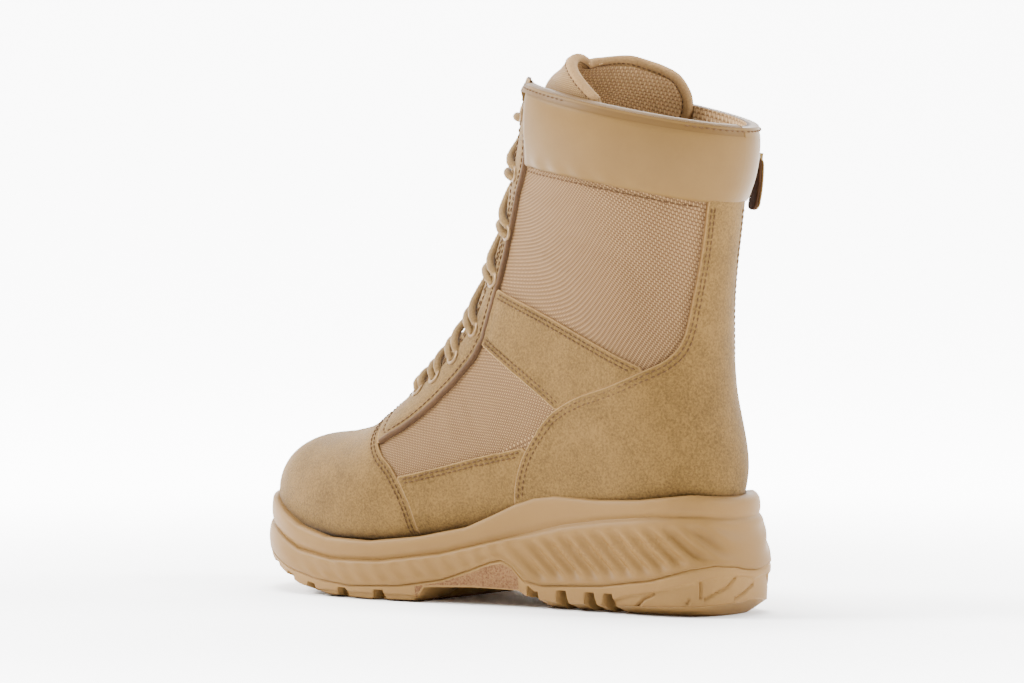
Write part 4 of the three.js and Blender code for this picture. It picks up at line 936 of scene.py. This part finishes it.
def band_along(run, field, stations, lift, pitch=1.6):
    """A strip that follows a line: for each station its way into the panel and its lift."""
    run = even_run(run, pitch)
    slope, climb_s, climb_a = skin.gradient(field)
    step_s, step_a = (bilinear(climb * slope, run[:, 0], run[:, 1]) for climb in (climb_s, climb_a))
    rings = []
    for into, height in stations:
        s = np.clip(run[:, 0] + into * step_s, 0.1, TOP_SECTION)
        a = run[:, 1] + into * step_a
        base = form_skin(s, a)
        rings.append(form_point(s, a, lift(base[:, 1], base[:, 2]) + height))
    points = np.stack(rings, 1)
    faces = net_faces(len(run), len(stations))
    seen = np.cross(points[1:-1, 1] - points[:-2, 1], points[1:-1, 2] - points[1:-1, 1])
    if (seen * form_normal(run[1:-1, 0], run[1:-1, 1])).sum() < 0:
        faces = faces[:, ::-1]
    return points.reshape(-1, 3), faces.tolist()


def rolled(edge, depth=0.55, reach=0.9):
    """How far a cut edge sinks under its sewing."""
    return -depth * np.clip(1 - edge / reach, 0, 1) ** 2


def channel(edge, rows, depth=0.28, width=0.9):
    return sum(-depth * np.exp(-((edge - row) / width) ** 2) for row in rows)


def suede_panel(name, field, rows, node_name, thick=0.0, keep=None, edge_material=cut_edge):
    panel = Panel(field, keep, levels=(0.0, 0.45, 0.9))
    lift = thick + fold_lift(panel.y, panel.z) + rolled(panel.edge) + channel(panel.edge, rows)
    piece = sheet(name, panel, lift, -2.2, suede, "suede", edge_material)
    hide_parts(*([node_name] if isinstance(node_name, str) else node_name))
    return panel


# The upper's panels

lateral, medial = np.where(skin.point[..., 0] > 0, 60.0, -60.0), np.where(skin.point[..., 0] < 0, 60.0, -60.0)
on_boot = np.minimum(off_throat, over_rim + 7)
toe_field = np.minimum(toe_side, over_rim + 7)
counter_field = np.minimum.reduce([counter_side, over_rim + 7, 1.5 - over_seam])
stay_field = np.minimum.reduce([-stay_side * np.sign(1.0), on_boot])
if stay_field[np.argmin(np.abs(skin.rows - 12)), np.argmin(np.abs(skin.columns - 0.5))] < 0:
    stay_field = np.minimum(stay_side, on_boot)
stay_field = np.minimum.reduce([stay_field, -toe_side, under_top + 2])
band_field = np.minimum.reduce([under_band, over_rim + 7, -toe_side, -counter_side])
strap_field = np.minimum.reduce([strap_side, -stay_side, -counter_side])
guard_field = np.minimum.reduce([ZIP_GUARD_WIDTH / 2 - zip_side, zip_length + ZIP_END, -over_seam])
collar_field = np.minimum.reduce([over_seam, under_top, skin.z - 190, np.where(np.cos(skin.a) > 0, -stay_side - 0.4, 60)])
nylon_field = np.minimum(on_boot, under_top)

nylon_panel = Panel(nylon_field, levels=(0.0,))
nylon_lift = fold_lift(nylon_panel.y, nylon_panel.z) - 1.75
piece = sheet("upper_nylon_shell", nylon_panel, nylon_lift, -4.2, nylon, "nylon")
cloth_uv(piece, nylon_panel.s, nylon_panel.a, len(piece.data.vertices))
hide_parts("upper")
inner = Panel(nylon_field, levels=(0.0,))
vertices = form_point(inner.s, inner.a, np.full(len(inner.s), -4.2))
piece = add_mesh("upper_lining", vertices, inner.triangles[:, ::-1], [air_mesh_with_painted_light], "nylon")
cloth_uv(piece, inner.s, inner.a, len(vertices))

suede_panel("toe_cap_suede", toe_field, (2.2, 4.2), "toe_cap")
suede_panel("quarter_band_suede", band_field, (2.0, 4.0), ["quarter_band_lateral", "quarter_band_medial"])
suede_panel("ankle_strap_suede", strap_field, (2.0, 4.0), ["ankle_strap_lateral", "ankle_strap_medial"])
suede_panel("heel_counter_suede", counter_field, (2.2, 4.6), "heel_counter", thick=0.5)
suede_panel("eyestay_suede", stay_field, (4.2,), ["eyestay_lateral", "eyestay_medial"], edge_material=bound_edge)
suede_panel("zip_guard_suede", guard_field, (3.0,), "zip_guard", thick=0.5)


def collar_pieces():
    panel = Panel(collar_field, levels=(0.0, 0.6))
    from_stay = bilinear(np.where(np.cos(skin.a) > 0, -stay_side, 60), panel.s, panel.a)
    lift = collar_lift(panel.y, panel.z) * (0.3 + 0.7 * smooth_step(0, 7, from_stay)) + fold_lift(panel.y, panel.z) * 0.4 - 0.5 * np.clip(1 - panel.edge, 0, 1)
    piece = sheet("collar_padded_leather", panel, lift, -3.2, leather, "collar_leather")
    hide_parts("collar_pad", "collar_pad_front")
    behind_stay = np.where(np.cos(skin.a) > 0, -stay_side + 0.8, 60)
    runs = contours(under_top, 0.0, np.minimum.reduce([off_throat + 1, over_seam + 200, behind_stay]))
    run = max(runs, key=len)
    lift_of = lambda y, z: np.zeros(np.shape(y))
    top = band_along(run, under_top, [(4.0, 3.3), (2.2, 2.9), (0.8, 2.1), (-0.6, 0.2), (-1.2, -2.4), (-0.8, -4.8),
                                      (1.5, -6.6), (6.0, -7.6), (14.0, -7.8), (24.0, -6.4), (32.0, -4.6)], lift_of)
    vertices, faces = top
    faces += [list(range(11)), list(range(len(vertices) - 11, len(vertices)))[::-1]]
    piece = add_mesh("collar_top_roll", vertices, faces, [leather], "collar_leather")


collar_pieces()


# Stitches, piping and bound edges

threads = Threads()
shown_off_rim = over_rim - 1


def surface_stitches(field, rows, others, lift=0.12):
    for row in rows:
        threads.along(contours(field, row, np.minimum.reduce([shown_off_rim, *others])), lift)


surface_stitches(toe_side, (2.2, 4.2), [off_throat - 3])
surface_stitches(counter_side, (2.2, 4.6), [-over_seam], 0.45)
surface_stitches(under_band, (2.0, 4.0), [-toe_side - 1, -counter_side - 1])
surface_stitches(strap_side, (2.0, 4.0), [-counter_side - 1, -np.minimum(stay_field, 60) - 0.5])
surface_stitches(stay_field, (4.2,), [on_boot - 2])
surface_stitches(off_throat, (3.0,), [stay_field - 2])
surface_stitches(-over_seam, (2.6,), [-stay_field - 1, -counter_side - 1], -1.6)
surface_stitches(guard_field, (3.0,), [-over_seam], 0.6)
surface_stitches(under_top, (1.7,), [collar_field - 1], 2.9)
threads.build("upper_stitching", thread, "suede")

edge_parts = []
for run in contours(stay_side, 0.0, np.minimum.reduce([off_throat - 0.5, over_rim - 2, under_top + 1.5, -toe_side])):
    edge_parts.append(band_along(run, stay_field, [(-0.5, -1.9), (-0.55, -0.3), (-0.2, 0.35), (0.7, 0.55),
                                                   (1.7, 0.4), (2.1, -0.2)], fold_lift))
piece = add_mesh("eyestay_binding", *joined(edge_parts), [bound_edge], "suede")


# Tongue

def tongue_pieces():
    outline = side_points(TONGUE_EDGE)
    outline = np.concatenate([curve_through(outline, 4), side_points([(-0.281, 1.456), (-0.330, 1.311),
                                                                      (-0.422, 1.175), (-0.500, 1.100),
                                                                      (-0.570, 1.120), (-0.570, 1.500), (-0.400, 2.100)])])
    closed = np.concatenate([outline, outline[:1]])
    y, z = skin.y, skin.z
    inside = np.zeros(y.shape, bool)
    for (py, pz), (qy, qz) in zip(closed[:-1], closed[1:]):
        if qz != pz:
            inside ^= ((pz > z) != (qz > z)) & (y < (qy - py) * (z - pz) / (qz - pz) + py)
    field = skin.distance(np.where(inside, 1, -1) * np.abs(side_distance(closed, y, z)))
    field = np.where(np.abs(skin.a) < 2.0, field, -20)
    near_side = beside([(-0.209, 2.110), (-0.034, 1.905)], (-60, 150))
    field = np.where(skin.a > 0, np.minimum(field, near_side), field)
    panel = Panel(field, levels=(0.0, 1.0, 2.0))
    lean = -tongue_lean(panel.y, panel.z)
    soft = 0.5 * np.sin(panel.a * 6 + panel.z * 0.05) * smooth_step(235, 262, panel.z)
    round_off = 1.6 * np.clip(1 - panel.edge / 3, 0, 1) ** 2
    outer = sheet("tongue_nylon_front", panel, lean - 4.7 + soft - round_off, -5.2, tongue_nylon, "tongue_nylon")
    cloth_uv(outer, panel.s, panel.a, len(outer.data.vertices))
    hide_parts("tongue")
    vertices = form_point(panel.s, panel.a, lean - 9.6 + soft + round_off)
    back = add_mesh("tongue_mesh_back", vertices, panel.triangles[:, ::-1], [air_mesh_with_painted_light], "tongue_nylon")
    cloth_uv(back, panel.s, panel.a, len(vertices))
    stations = [(4.2, -4.6), (2.6, -4.0), (1.0, -4.6), (0.0, -5.8), (-0.3, -7.2), (0.0, -8.8), (1.0, -9.9),
                (2.6, -10.5), (4.2, -10.0)]
    parts, seams = [], Threads()
    for run in contours(field, 0.0):
        if len(run) > 12:
            parts.append(band_along(run, field, stations, lambda y, z: -tongue_lean(y, z)))
    add_mesh("tongue_binding", *joined(parts), [nylon_binding], "tongue_nylon")
    for run in contours(field, 3.4):
        even = even_run(run, STITCH_PITCH)
        base = form_skin(even[:, 0], even[:, 1])
        high = base[:, 2] > 236
        if high.sum() > 4:
            even, base = even[high], base[high]
            out = form_normal(even[:, 0], even[:, 1])
            for height, way in ((-4.1, 1), (-10.4, -1)):
                centres = form_point(even[:, 0], even[:, 1], height - tongue_lean(base[:, 1], base[:, 2]))
                ahead = unit(np.gradient(centres, axis=0))
                seams.parts.append(stitch_mesh(centres, ahead, way * out, STITCH_LENGTH, STITCH_RADIUS))
    seams.build("tongue_stitching", thread, "tongue_nylon")


nylon_binding = grained("tongue_binding_tape", shade(190, 150, 98), shade(140, 106, 66), 0.8, speckle=0.6, depth=0.15)
tongue_pieces()


# Eyelets and laces

def angle_at(s, x):
    turns = np.linspace(0, np.pi / 2, 600) * np.sign(x)
    across = form_skin(np.full(600, s), turns)[:, 0]
    return float(np.interp(abs(x), np.abs(across), turns))


def eyelet_at(s, side):
    return s, angle_at(s, side * (throat_half(s) + EYELET_SET_BACK))


def local_frame(s, a):
    out = form_normal(np.array(s), np.array(a))
    along = form_skin(s + 0.05, a) - form_skin(s - 0.05, a)
    along = unit(along - out * np.dot(along, out))
    return form_skin(s, a), out, along, np.cross(along, out)


def eyelets_and_laces():
    profile = [(EYELET_HOLE, -2.4), (EYELET_HOLE - 0.1, 0.2), (EYELET_HOLE + 0.25, 0.75), (3.3, 0.95), (3.9, 0.8),
               (EYELET_RADIUS, 0.35), (EYELET_RADIUS - 0.1, -0.3)]
    turns = np.linspace(0, 2 * np.pi, 28, endpoint=False)
    parts, names = [], []
    for row, s in enumerate(EYELET_SECTIONS):
        for side, name in ((1, "lateral"), (-1, "medial")):
            place, out, along, across = local_frame(*eyelet_at(s, side))
            place = place + out * (fold_lift(place[1], place[2]) + 0.05)
            points = [place + radius * (math.cos(t) * along + math.sin(t) * across) + height * out
                      for radius, height in profile for t in turns]
            parts.append((np.array(points), net_faces(len(profile), 28, closed=True).tolist()))
            names.append(f"eyelet_{name}_{row + 1}")
    piece = add_mesh("eyelet_rings", *joined(parts), [eyelet_metal], "eyelet_metal")
    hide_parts(*names)

    cords = []

    def cord(first, last, spread):
        """One lace over the tongue from eyelet to eyelet, its ends dipping into them."""
        t = np.linspace(0, 1, 60)
        bend = t * t * (3 - 2 * t)
        s = first[0] + (last[0] - first[0]) * bend
        a = first[1] + (last[1] - first[1]) * t
        dip = np.maximum(np.exp(-(t / 0.035) ** 2), np.exp(-((1 - t) / 0.035) ** 2))
        over_edge = 0.5 * (np.exp(-((t - 0.13) / 0.07) ** 2) + np.exp(-((t - 0.87) / 0.07) ** 2))
        lift = LACE_RADIUS - 0.6 - 3.4 * dip + over_edge + spread * np.exp(-((t - 0.5) / 0.16) ** 2)
        lift = lift - 2.9 * hump(t, 0.5, 0.4)
        cords.append(tube(form_point(s, a, lift), LACE_RADIUS, 12, twist=1.1))

    for row in range(len(EYELET_SECTIONS) - 1):
        low, high = EYELET_SECTIONS[row], EYELET_SECTIONS[row + 1]
        shift = LACE_SPREAD / np.linalg.norm(form_skin(low + 0.5, 0.3) - form_skin(low - 0.5, 0.3))
        cord(eyelet_at(low + shift, 1), eyelet_at(high - shift, -1), 1.9)
        cord(eyelet_at(low + shift, -1), eyelet_at(high - shift, 1), -1.4)
    bottom = EYELET_SECTIONS[0] - 0.08
    cord(eyelet_at(bottom, 1), eyelet_at(bottom, -1), 0.0)
    piece = add_mesh("laces", *joined(cords), [lace_cord], "lace")
    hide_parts(*[f"lace_{k}" for k in range(1, 9)])


eyelets_and_laces()


# Sole

def sole_plan(count):
    fine = curve_through(np.array([(x * BALL_WIDTH, y * SOLE_LENGTH) for y, x in SOLE_PLAN]), 40, closed=True)
    fine = np.concatenate([fine, fine[:1]])
    lengths = np.concatenate([[0], np.cumsum(np.linalg.norm(np.diff(fine, axis=0), axis=1))])
    where = np.linspace(0, lengths[-1], count, endpoint=False)
    plan = np.stack([np.interp(where, lengths, fine[:, k]) for k in (0, 1)], -1)
    ahead = unit(np.roll(plan, -1, 0) - np.roll(plan, 1, 0))
    out = np.stack([ahead[:, 1], -ahead[:, 0]], -1)
    if (out * (plan - plan.mean(0))).sum() < 0:
        out = -out
    return plan, out, where


def sole_ring(plan, out, insets, table, heights=None):
    y = plan[:, 1]
    front, rear = plan[:, 1].min(), plan[:, 1].max()
    heel = smooth_step(rear - 0.1 * SOLE_LENGTH, rear, y)
    toe = smooth_step(front + 0.12 * SOLE_LENGTH, front, y)
    side_inset, heel_inset, toe_inset = insets
    inset = side_inset + (heel_inset - side_inset) * heel + (toe_inset - side_inset) * toe
    ring = plan - out * inset[:, None]
    height = line_height(table, ring[:, 1]) if heights is None else heights(ring[:, 1])
    return np.concatenate([ring, height[:, None]], 1)


def blend_lines(first, last, share):
    return lambda y: line_height(first, y) * (1 - share) + line_height(last, y) * share


def fine_rows(rings, parts, sharp=()):
    """Rows between the sole's key rings, curved except at the sharp ones."""
    rings = np.array(rings)
    rows = []
    last = len(rings) - 1
    for i in range(last):
        for t in np.arange(parts) / parts:
            p = rings[i - 1] if i > 0 and i not in sharp else 2 * rings[i] - rings[i + 1]
            v = rings[i + 2] if i + 2 <= last and i + 1 not in sharp else 2 * rings[i + 1] - rings[i]
            q, r = rings[i], rings[i + 1]
            rows.append(0.5 * (2 * q + (r - p) * t + (2 * p - 5 * q + 4 * r - v) * t**2
                               + (3 * q - p - 3 * r + v) * t**3))
    rows.append(rings[last])
    return np.array(rows)


def build_midsole():
    plan, out, where = sole_plan(760)
    ring = lambda name, table, heights=None: sole_ring(plan, out, WALL_INSETS[name], table, heights)
    inner = lambda deeper, drop: sole_ring(plan, out, [v + deeper for v in WALL_INSETS["inside"]], RIM,
                                           lambda y: line_height(RIM, y) - drop)
    rings = [
        ring("split", SPLIT), ring("belly", None, blend_lines(SPLIT, GROOVE, 0.4)),
        ring("shoulder", None, blend_lines(SPLIT, GROOVE, 0.87)), ring("groove", GROOVE),
        ring("band", None, blend_lines(GROOVE, RIM, 0.3)), ring("crown", None, blend_lines(GROOVE, RIM, 0.8)),
        ring("rim", RIM), ring("inside", None, lambda y: line_height(RIM, y) - 0.2),
    ]
    rows = fine_rows(rings, 8, sharp=(0, 3))
    count = len(rows)
    share = np.arange(count) / 8
    y, z = rows[..., 1], rows[..., 2]
    part = np.clip(share / 3, 0, 1)[:, None]
    along = y + RIB_SLOPE * z
    wave = np.sin(2 * np.pi * along / RIB_PITCH)
    reach = smooth_step(-122, -40, y) * (0.35 + 0.65 * smooth_step(-75, -55, y)) * smooth_step(45, 34, y) + 0.25 * smooth_step(-45, -130, y) * smooth_step(-215, -180, y)
    fade = smooth_step(0.02, 0.22, part) * smooth_step(0.68, 0.48, part)
    push = RIB_DEPTH * (wave * 0.5 - 0.5) * reach * fade
    rows[..., :2] += out[None] * push[..., None]
    floor = [inner(0, 0.2), inner(0.5, 8), inner(3, 16), inner(9, 20)]
    points = np.concatenate([rows, np.array(floor)[1:]])
    faces = net_faces(len(points), 760, closed=True, flip=False)
    low = rows[0].copy()
    under = np.array([low, low - np.concatenate([out * 8, np.zeros((760, 1))], 1)])
    vertices = np.concatenate([points.reshape(-1, 3), under.reshape(-1, 3)])
    shift = len(points) * 760
    faces = np.concatenate([faces, net_faces(2, 760, closed=True)[:, ::-1] + shift])
    piece = add_mesh("midsole_moulded", vertices, faces, [foam], "midsole_foam", sharp=50)
    turn_outwards(piece)
    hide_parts("midsole")


def turn_outwards(piece):
    body = bmesh.new()
    body.from_mesh(piece.data)
    bmesh.ops.remove_doubles(body, verts=body.verts, dist=0.001 * MM)
    bmesh.ops.recalc_face_normals(body, faces=body.faces)
    body.to_mesh(piece.data)
    body.free()


def lug_rise(x, y, inset):
    """How deep the tread's gaps go above the ground at a place under the sole."""
    edge_in = smooth_step(LUG_REACH + 1.5, LUG_REACH - 1.5, inset)
    deep = np.zeros(np.shape(y))
    for share in FORE_LUGS + HEEL_LUGS:
        away = np.abs(y - share * SOLE_LENGTH + 0.12 * x * np.sign(x))
        deep = np.maximum(deep, smooth_step(LUG_GAP / 2 + 0.4, LUG_GAP / 2 - 0.4, away))
    deep = deep * edge_in
    middle = np.abs(((y + 0.35 * np.abs(x)) / 15.0) % 1 - 0.5)
    cross = smooth_step(0.36, 0.42, middle) * smooth_step(LUG_REACH - 1, LUG_REACH + 3, inset) * 0.5
    heel = smooth_step(-75, -50, y)
    return np.maximum(deep * (LUG_DEPTH + (HEEL_LUG_DEPTH - LUG_DEPTH) * heel), cross * LUG_DEPTH)


# Cuts in the tread's wall round the heel: way from the heel's middle along the wall, and height
HEEL_CUTS = [
    [(14, 19), (18, 15), (25, 12), (31, 9)], [(1, 15), (8, 11), (13, 9)], [(33, 18), (33, 10)], [(39, 9), (40, 7)],
    [(58, 11), (64, 8), (68, 4)], [(-14, 19), (-18, 15), (-25, 12), (-31, 9)], [(-33, 18), (-33, 10)],
]
# The edge over the heel's tread blocks: way along the wall, and height
HEEL_LIP = [(0, 18.5), (6, 19.8), (18, 20.5), (34, 18.1), (52, 13.3), (75, 9.4), (90, 4)]


def cut_depth(way, z):
    away = np.full(way.shape, 9.0)
    for line in HEEL_CUTS:
        for (u, v), (p, q) in zip(line[:-1], line[1:]):
            t = np.clip(((way - u) * (p - u) + (z - v) * (q - v)) / ((p - u) ** 2 + (q - v) ** 2), 0, 1)
            away = np.minimum(away, np.hypot(way - u - t * (p - u), z - v - t * (q - v)))
    lip = np.interp(np.abs(way), *np.array(HEEL_LIP).T)
    return 1.1 * smooth_step(0.9, 0.3, away) * (z < lip) + 0.9 * smooth_step(lip, lip - 0.9, z)


def build_outsole():
    count = 920
    plan, out, where = sole_plan(count)
    ring = lambda name, table: sole_ring(plan, out, WALL_INSETS[name], table)
    wall = fine_rows([ring("split", SPLIT), ring("skirt", SKIRT)], 22)[::-1]
    rows = [wall[k] for k in range(len(wall))][::-1]
    insets = np.concatenate([np.linspace(2.2, 12, 7), np.array([14, 16, 17.5, 18.5, 19.5, 20.5, 22, 24])])
    for inset in insets:
        ground = sole_ring(plan, out, (inset, inset, inset), TREAD)
        share = float(np.clip((inset - 2.0) / 10.0, 0, 1))
        edge = sole_ring(plan, out, (inset, inset, inset), SKIRT)
        ground[:, 2] = edge[:, 2] * (1 - share) + ground[:, 2] * share
        rows.append(ground)
    first_under = len(wall)
    last_ring = rows[-1]
    middle_x = np.interp(last_ring[:, 1], *spine(last_ring))
    for t in np.linspace(0.1, 1, 10):
        inward = last_ring.copy()
        inward[:, 0] += (middle_x - inward[:, 0]) * t
        rows.append(inward)
    rows = np.array(rows)
    x, y = rows[..., 0], rows[..., 1]
    depth_in = np.concatenate([np.full(len(wall), 2.0), insets, np.linspace(26, 60, 10)])[:, None]
    raised_to = line_height(TREAD, y) + lug_rise(x, y, np.broadcast_to(depth_in, y.shape))
    rows[..., 2] = np.maximum(rows[..., 2], raised_to)
    split = line_height(SPLIT, rows[0][:, 1])
    rows[..., 2] = np.minimum(rows[..., 2], np.maximum(split - 1.0, rows[..., 2] * 0)[None])
    rows[0] = ring("split", SPLIT)
    total = where[-1] + where[1]
    way = np.where(where > total / 2, where - total, where)
    walls = len(wall)
    depth = cut_depth(np.broadcast_to(way, (walls, count)), rows[:walls, :, 2])
    rows[:walls, :, :2] -= out[None] * depth[..., None]
    lip = np.clip(1 - np.arange(walls) / 3, 0, 1)[:, None, None]
    rows[:walls, :, :2] -= out[None] * lip * 0.7
    top = np.array([rows[0], rows[0] - np.concatenate([out * 10, np.zeros((count, 1))], 1)])
    vertices = np.concatenate([rows.reshape(-1, 3), top.reshape(-1, 3)])
    faces = np.concatenate([net_faces(len(rows), count, closed=True),
                            net_faces(2, count, closed=True)[:, ::-1] + len(rows) * count])
    piece = add_mesh("outsole_tread", vertices, faces, [rubber], "tread_rubber", sharp=40)
    piece.data.materials.append(stipple)
    low, high = line_height(TREAD, y), line_height(SPLIT, y)
    window = (y > -127) & (y < -69) & (rows[..., 2] < high - 1.5) & (rows[..., 2] > low + 1.2)
    window[walls:] = False
    tags = np.zeros(len(piece.data.polygons), np.int32)
    tags[:(len(rows) - 1) * count] = window[:-1].ravel()
    piece.data.polygons.foreach_set("material_index", tags)
    turn_outwards(piece)
    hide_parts("outsole")


def spine(ring):
    """Middle x of a closed ring for each y, to close the sole's underside on."""
    order = np.linspace(ring[:, 1].min() + 0.5, ring[:, 1].max() - 0.5, 60)
    left, right = ring[ring[:, 0] < middle_line(ring)], ring[ring[:, 0] >= middle_line(ring)]
    left, right = left[np.argsort(left[:, 1])], right[np.argsort(right[:, 1])]
    return order, (np.interp(order, left[:, 1], left[:, 0]) + np.interp(order, right[:, 1], right[:, 0])) / 2


def middle_line(ring):
    heel, toe = ring[np.argmax(ring[:, 1])], ring[np.argmin(ring[:, 1])]
    share = (ring[:, 1] - toe[1]) / (heel[1] - toe[1])
    return toe[0] + (heel[0] - toe[0]) * share


build_midsole()
build_outsole()


# Zip and its pull tab

def zip_pieces():
    runs = [run for run in contours(zip_across, 0.0, np.minimum.reduce([zip_length, under_top - 2, -0.8 - skin.a])) if len(run) > 20]
    if not runs:
        return
    run = even_run(max(runs, key=len), 1.5)
    base = form_skin(run[:, 0], run[:, 1])
    lift = np.where(collar_share(base[:, 1], base[:, 2]) > 0, collar_lift(base[:, 1], base[:, 2]), 0.5)
    out = form_normal(run[:, 0], run[:, 1])
    centres = base + out * (lift + 0.7)[:, None]
    ahead = unit(np.gradient(centres, axis=0))
    across = np.cross(ahead, out)
    teeth = stitch_mesh(centres, across, out, 5.0, 0.75)
    teeth = add_mesh("zip_teeth", *teeth, [brass], "zip_metal")
    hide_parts("zip_chain")
    half = ZIP_TAPE_WIDTH / 2
    rings = np.stack([centres + across * shift + out * (height - 0.8) for shift, height in ((-half, -0.4), (-half, 0.2),
                      (half, 0.2), (half, -0.4))] if False else
                     [centres + across * shift + out * (height - 0.8)
                      for shift, height in ((-half, -0.6), (-half, 0.2), (half, 0.2), (half, -0.6))], 1)
    add_mesh("zip_tape", rings.reshape(-1, 3), net_faces(len(run), 4)[:, ::-1], [nylon_binding], "nylon")


zip_pieces()


def pull_tab():
    """The zip's pull: a dark core with a tan skin on its outer face, rounded at both ends."""
    hinge = np.array([-43.840, 14.313, 220.820])
    out = np.array([-0.87576, 0.47101, -0.10585])
    up = np.array([-0.09322, 0.05014, 0.99438])
    across = np.cross(up, out)
    low, high = -25.0, 1.0

    def slab(face_in, face_out, grow, name, material):
        rings = []
        for height in np.linspace(0, 1, 40):
            z = low + (high - low) * height
            end = min(height, 1 - height) * (high - low)
            half = (4.5 + grow) * math.sqrt(max(1 - max(1 - end / 3.5, 0) ** 2, 0.02))
            bow = 0.9 * math.sin(math.pi * height)
            middle, thick = (face_in + face_out) / 2 + bow, (face_out - face_in) / 2
            turns = np.linspace(0, 2 * np.pi, 24, endpoint=False)
            c, sine = np.cos(turns), np.sin(turns)
            wide = np.sign(c) * np.abs(c) ** 0.4 * half
            deep = np.sign(sine) * np.abs(sine) ** 0.4 * thick * min(1, 0.35 + end / 1.2)
            rings.append(hinge + up * z + across * wide[:, None] + out * (middle + deep)[:, None])
        points = np.array(rings)
        faces = net_faces(40, 24, closed=True).tolist() + [list(range(24)), [39 * 24 + k for k in range(24)][::-1]]
        piece = add_mesh(name, points.reshape(-1, 3), faces, [material], "zip_metal", sharp=55, body="zip_pull")
        turn_outwards(piece)
        return piece

    core = slab(-1.0, 0.75, -0.1, "pull_core", pull_core)
    slab(0.75, 1.9, 0.25, "pull_skin", pull_rubber)
    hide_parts("zip_pull")


pull_tab()

for name, material in (("insole", felt), ("zip_slider", brass)):
    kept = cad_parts[name]
    kept.data.materials.clear()
    kept.data.materials.append(material)


# Camera, floor and light

def place_camera():
    turn, tilt, away = math.radians(128), math.radians(2), 2.2
    back = Vector((math.sin(turn) * math.cos(tilt), -math.cos(turn) * math.cos(tilt), math.sin(tilt)))
    target = Vector((0, -0.105, 0.1295))
    camera = bpy.data.objects.new("camera", bpy.data.cameras.new("camera"))
    bpy.context.scene.collection.objects.link(camera)
    camera.location = target + back * away
    camera.rotation_euler = back.to_track_quat("Z", "Y").to_euler()
    camera.data.lens = 153.5
    camera.data.sensor_width = 36
    camera.data.clip_end = 20
    bpy.context.scene.camera = camera


def soft_light(name, place, target, size, power, tint=(1, 1, 1)):
    lamp = bpy.data.objects.new(name, bpy.data.lights.new(name, "AREA"))
    lamp.data.shape = "DISK"
    lamp.data.size = size
    lamp.data.energy = power
    lamp.data.color = tint
    lamp.location = place
    lamp.rotation_euler = (Vector(place) - Vector(target)).to_track_quat("Z", "Y").to_euler()
    bpy.context.scene.collection.objects.link(lamp)
    return lamp


def studio():
    """A pale sweep that is the floor under the boot and curves up far behind it, and soft lights. The sweep glows,
    dimmer towards the boot and not at all under the sole: a painted shade round the boot and a painted shadow beneath
    it.
    """
    turn = math.radians(128)
    ahead, right = np.array([-math.sin(turn), math.cos(turn)]), np.array([math.cos(turn), math.sin(turn)])
    bend = np.linspace(0, math.pi / 2, 16)
    way = np.concatenate([[-6, -2, 0, 1.2], 2.4 + 1.8 * np.sin(bend), [4.2]])
    height = np.concatenate([[0, 0, 0, 0], 1.8 * (1 - np.cos(bend)), [7]])
    points = [(*(u * ahead + v * right), z) for u, z in zip(way, height) for v in (-7, 7)]
    mesh = bpy.data.meshes.new("floor")
    mesh.from_pydata(points, [], net_faces(len(way), 2).tolist())
    mesh.polygons.foreach_set("use_smooth", np.ones(len(mesh.polygons), bool))
    floor = bpy.data.objects.new("floor", mesh)
    bpy.context.scene.collection.objects.link(floor)
    white, tree, shader = start_material("studio_floor", 0.9, specular=0.05)
    shader.inputs["Base Color"].default_value = (0.92, 0.92, 0.92, 1)
    place = node(tree, "ShaderNodeNewGeometry", -900).outputs["Position"]
    away = node(tree, "ShaderNodeVectorMath", -700, operation="DISTANCE")
    tree.links.new(place, away.inputs[0])
    away.inputs[1].default_value = (0, -0.105, 0)
    # The glow fades towards the boot: painted shade on the floor round it
    glow = node(tree, "ShaderNodeMapRange", -500, interpolation_type="SMOOTHSTEP")
    tree.links.new(away.outputs["Value"], glow.inputs["Value"])
    glow.inputs["From Min"].default_value, glow.inputs["From Max"].default_value = 0.15, 0.9
    glow.inputs["To Min"].default_value, glow.inputs["To Max"].default_value = 0.12, 1.0
    # No glow right under the sole: a painted shadow there, on top of the lamps' own soft shadow
    footprint = node(tree, "ShaderNodeVectorMath", -700, -300, operation="MULTIPLY_ADD")
    tree.links.new(place, footprint.inputs[0])
    footprint.inputs[1].default_value = (1 / 0.075, 1 / 0.185, 0)
    footprint.inputs[2].default_value = (0, 0.105 / 0.185, 0)
    off_sole = node(tree, "ShaderNodeVectorMath", -600, -300, operation="LENGTH")
    tree.links.new(footprint.outputs["Vector"], off_sole.inputs[0])
    clear = node(tree, "ShaderNodeMapRange", -500, -300, interpolation_type="SMOOTHSTEP")
    tree.links.new(off_sole.outputs["Value"], clear.inputs["Value"])
    clear.inputs["From Min"].default_value, clear.inputs["From Max"].default_value = 0.8, 1.5
    tree.links.new(math_node(tree, "MULTIPLY", glow.outputs["Result"], clear.outputs["Result"]),
                   shader.inputs["Emission Color"])
    shader.inputs["Emission Strength"].default_value = 6.0
    mesh.materials.append(white)
    middle = (0, -0.1, 0.13)
    lamps = [
        soft_light("front_light", (1.5, -2.3, 1.9), middle, 1.2, 330),
        soft_light("side_light", (2.2, 0.9, 1.7), middle, 1.4, 40),
        soft_light("heel_light", (-1.2, 2.2, 1.4), middle, 1.0, 150),
        soft_light("top_light", (-0.2, -0.5, 2.8), middle, 1.6, 200),
    ]
    world = bpy.data.worlds.new("studio_air")
    world.use_nodes = True
    world.node_tree.nodes["Background"].inputs["Color"].default_value = (1, 1, 1, 1)
    world.node_tree.nodes["Background"].inputs["Strength"].default_value = 0.3
    bpy.context.scene.world = world


place_camera()
studio()
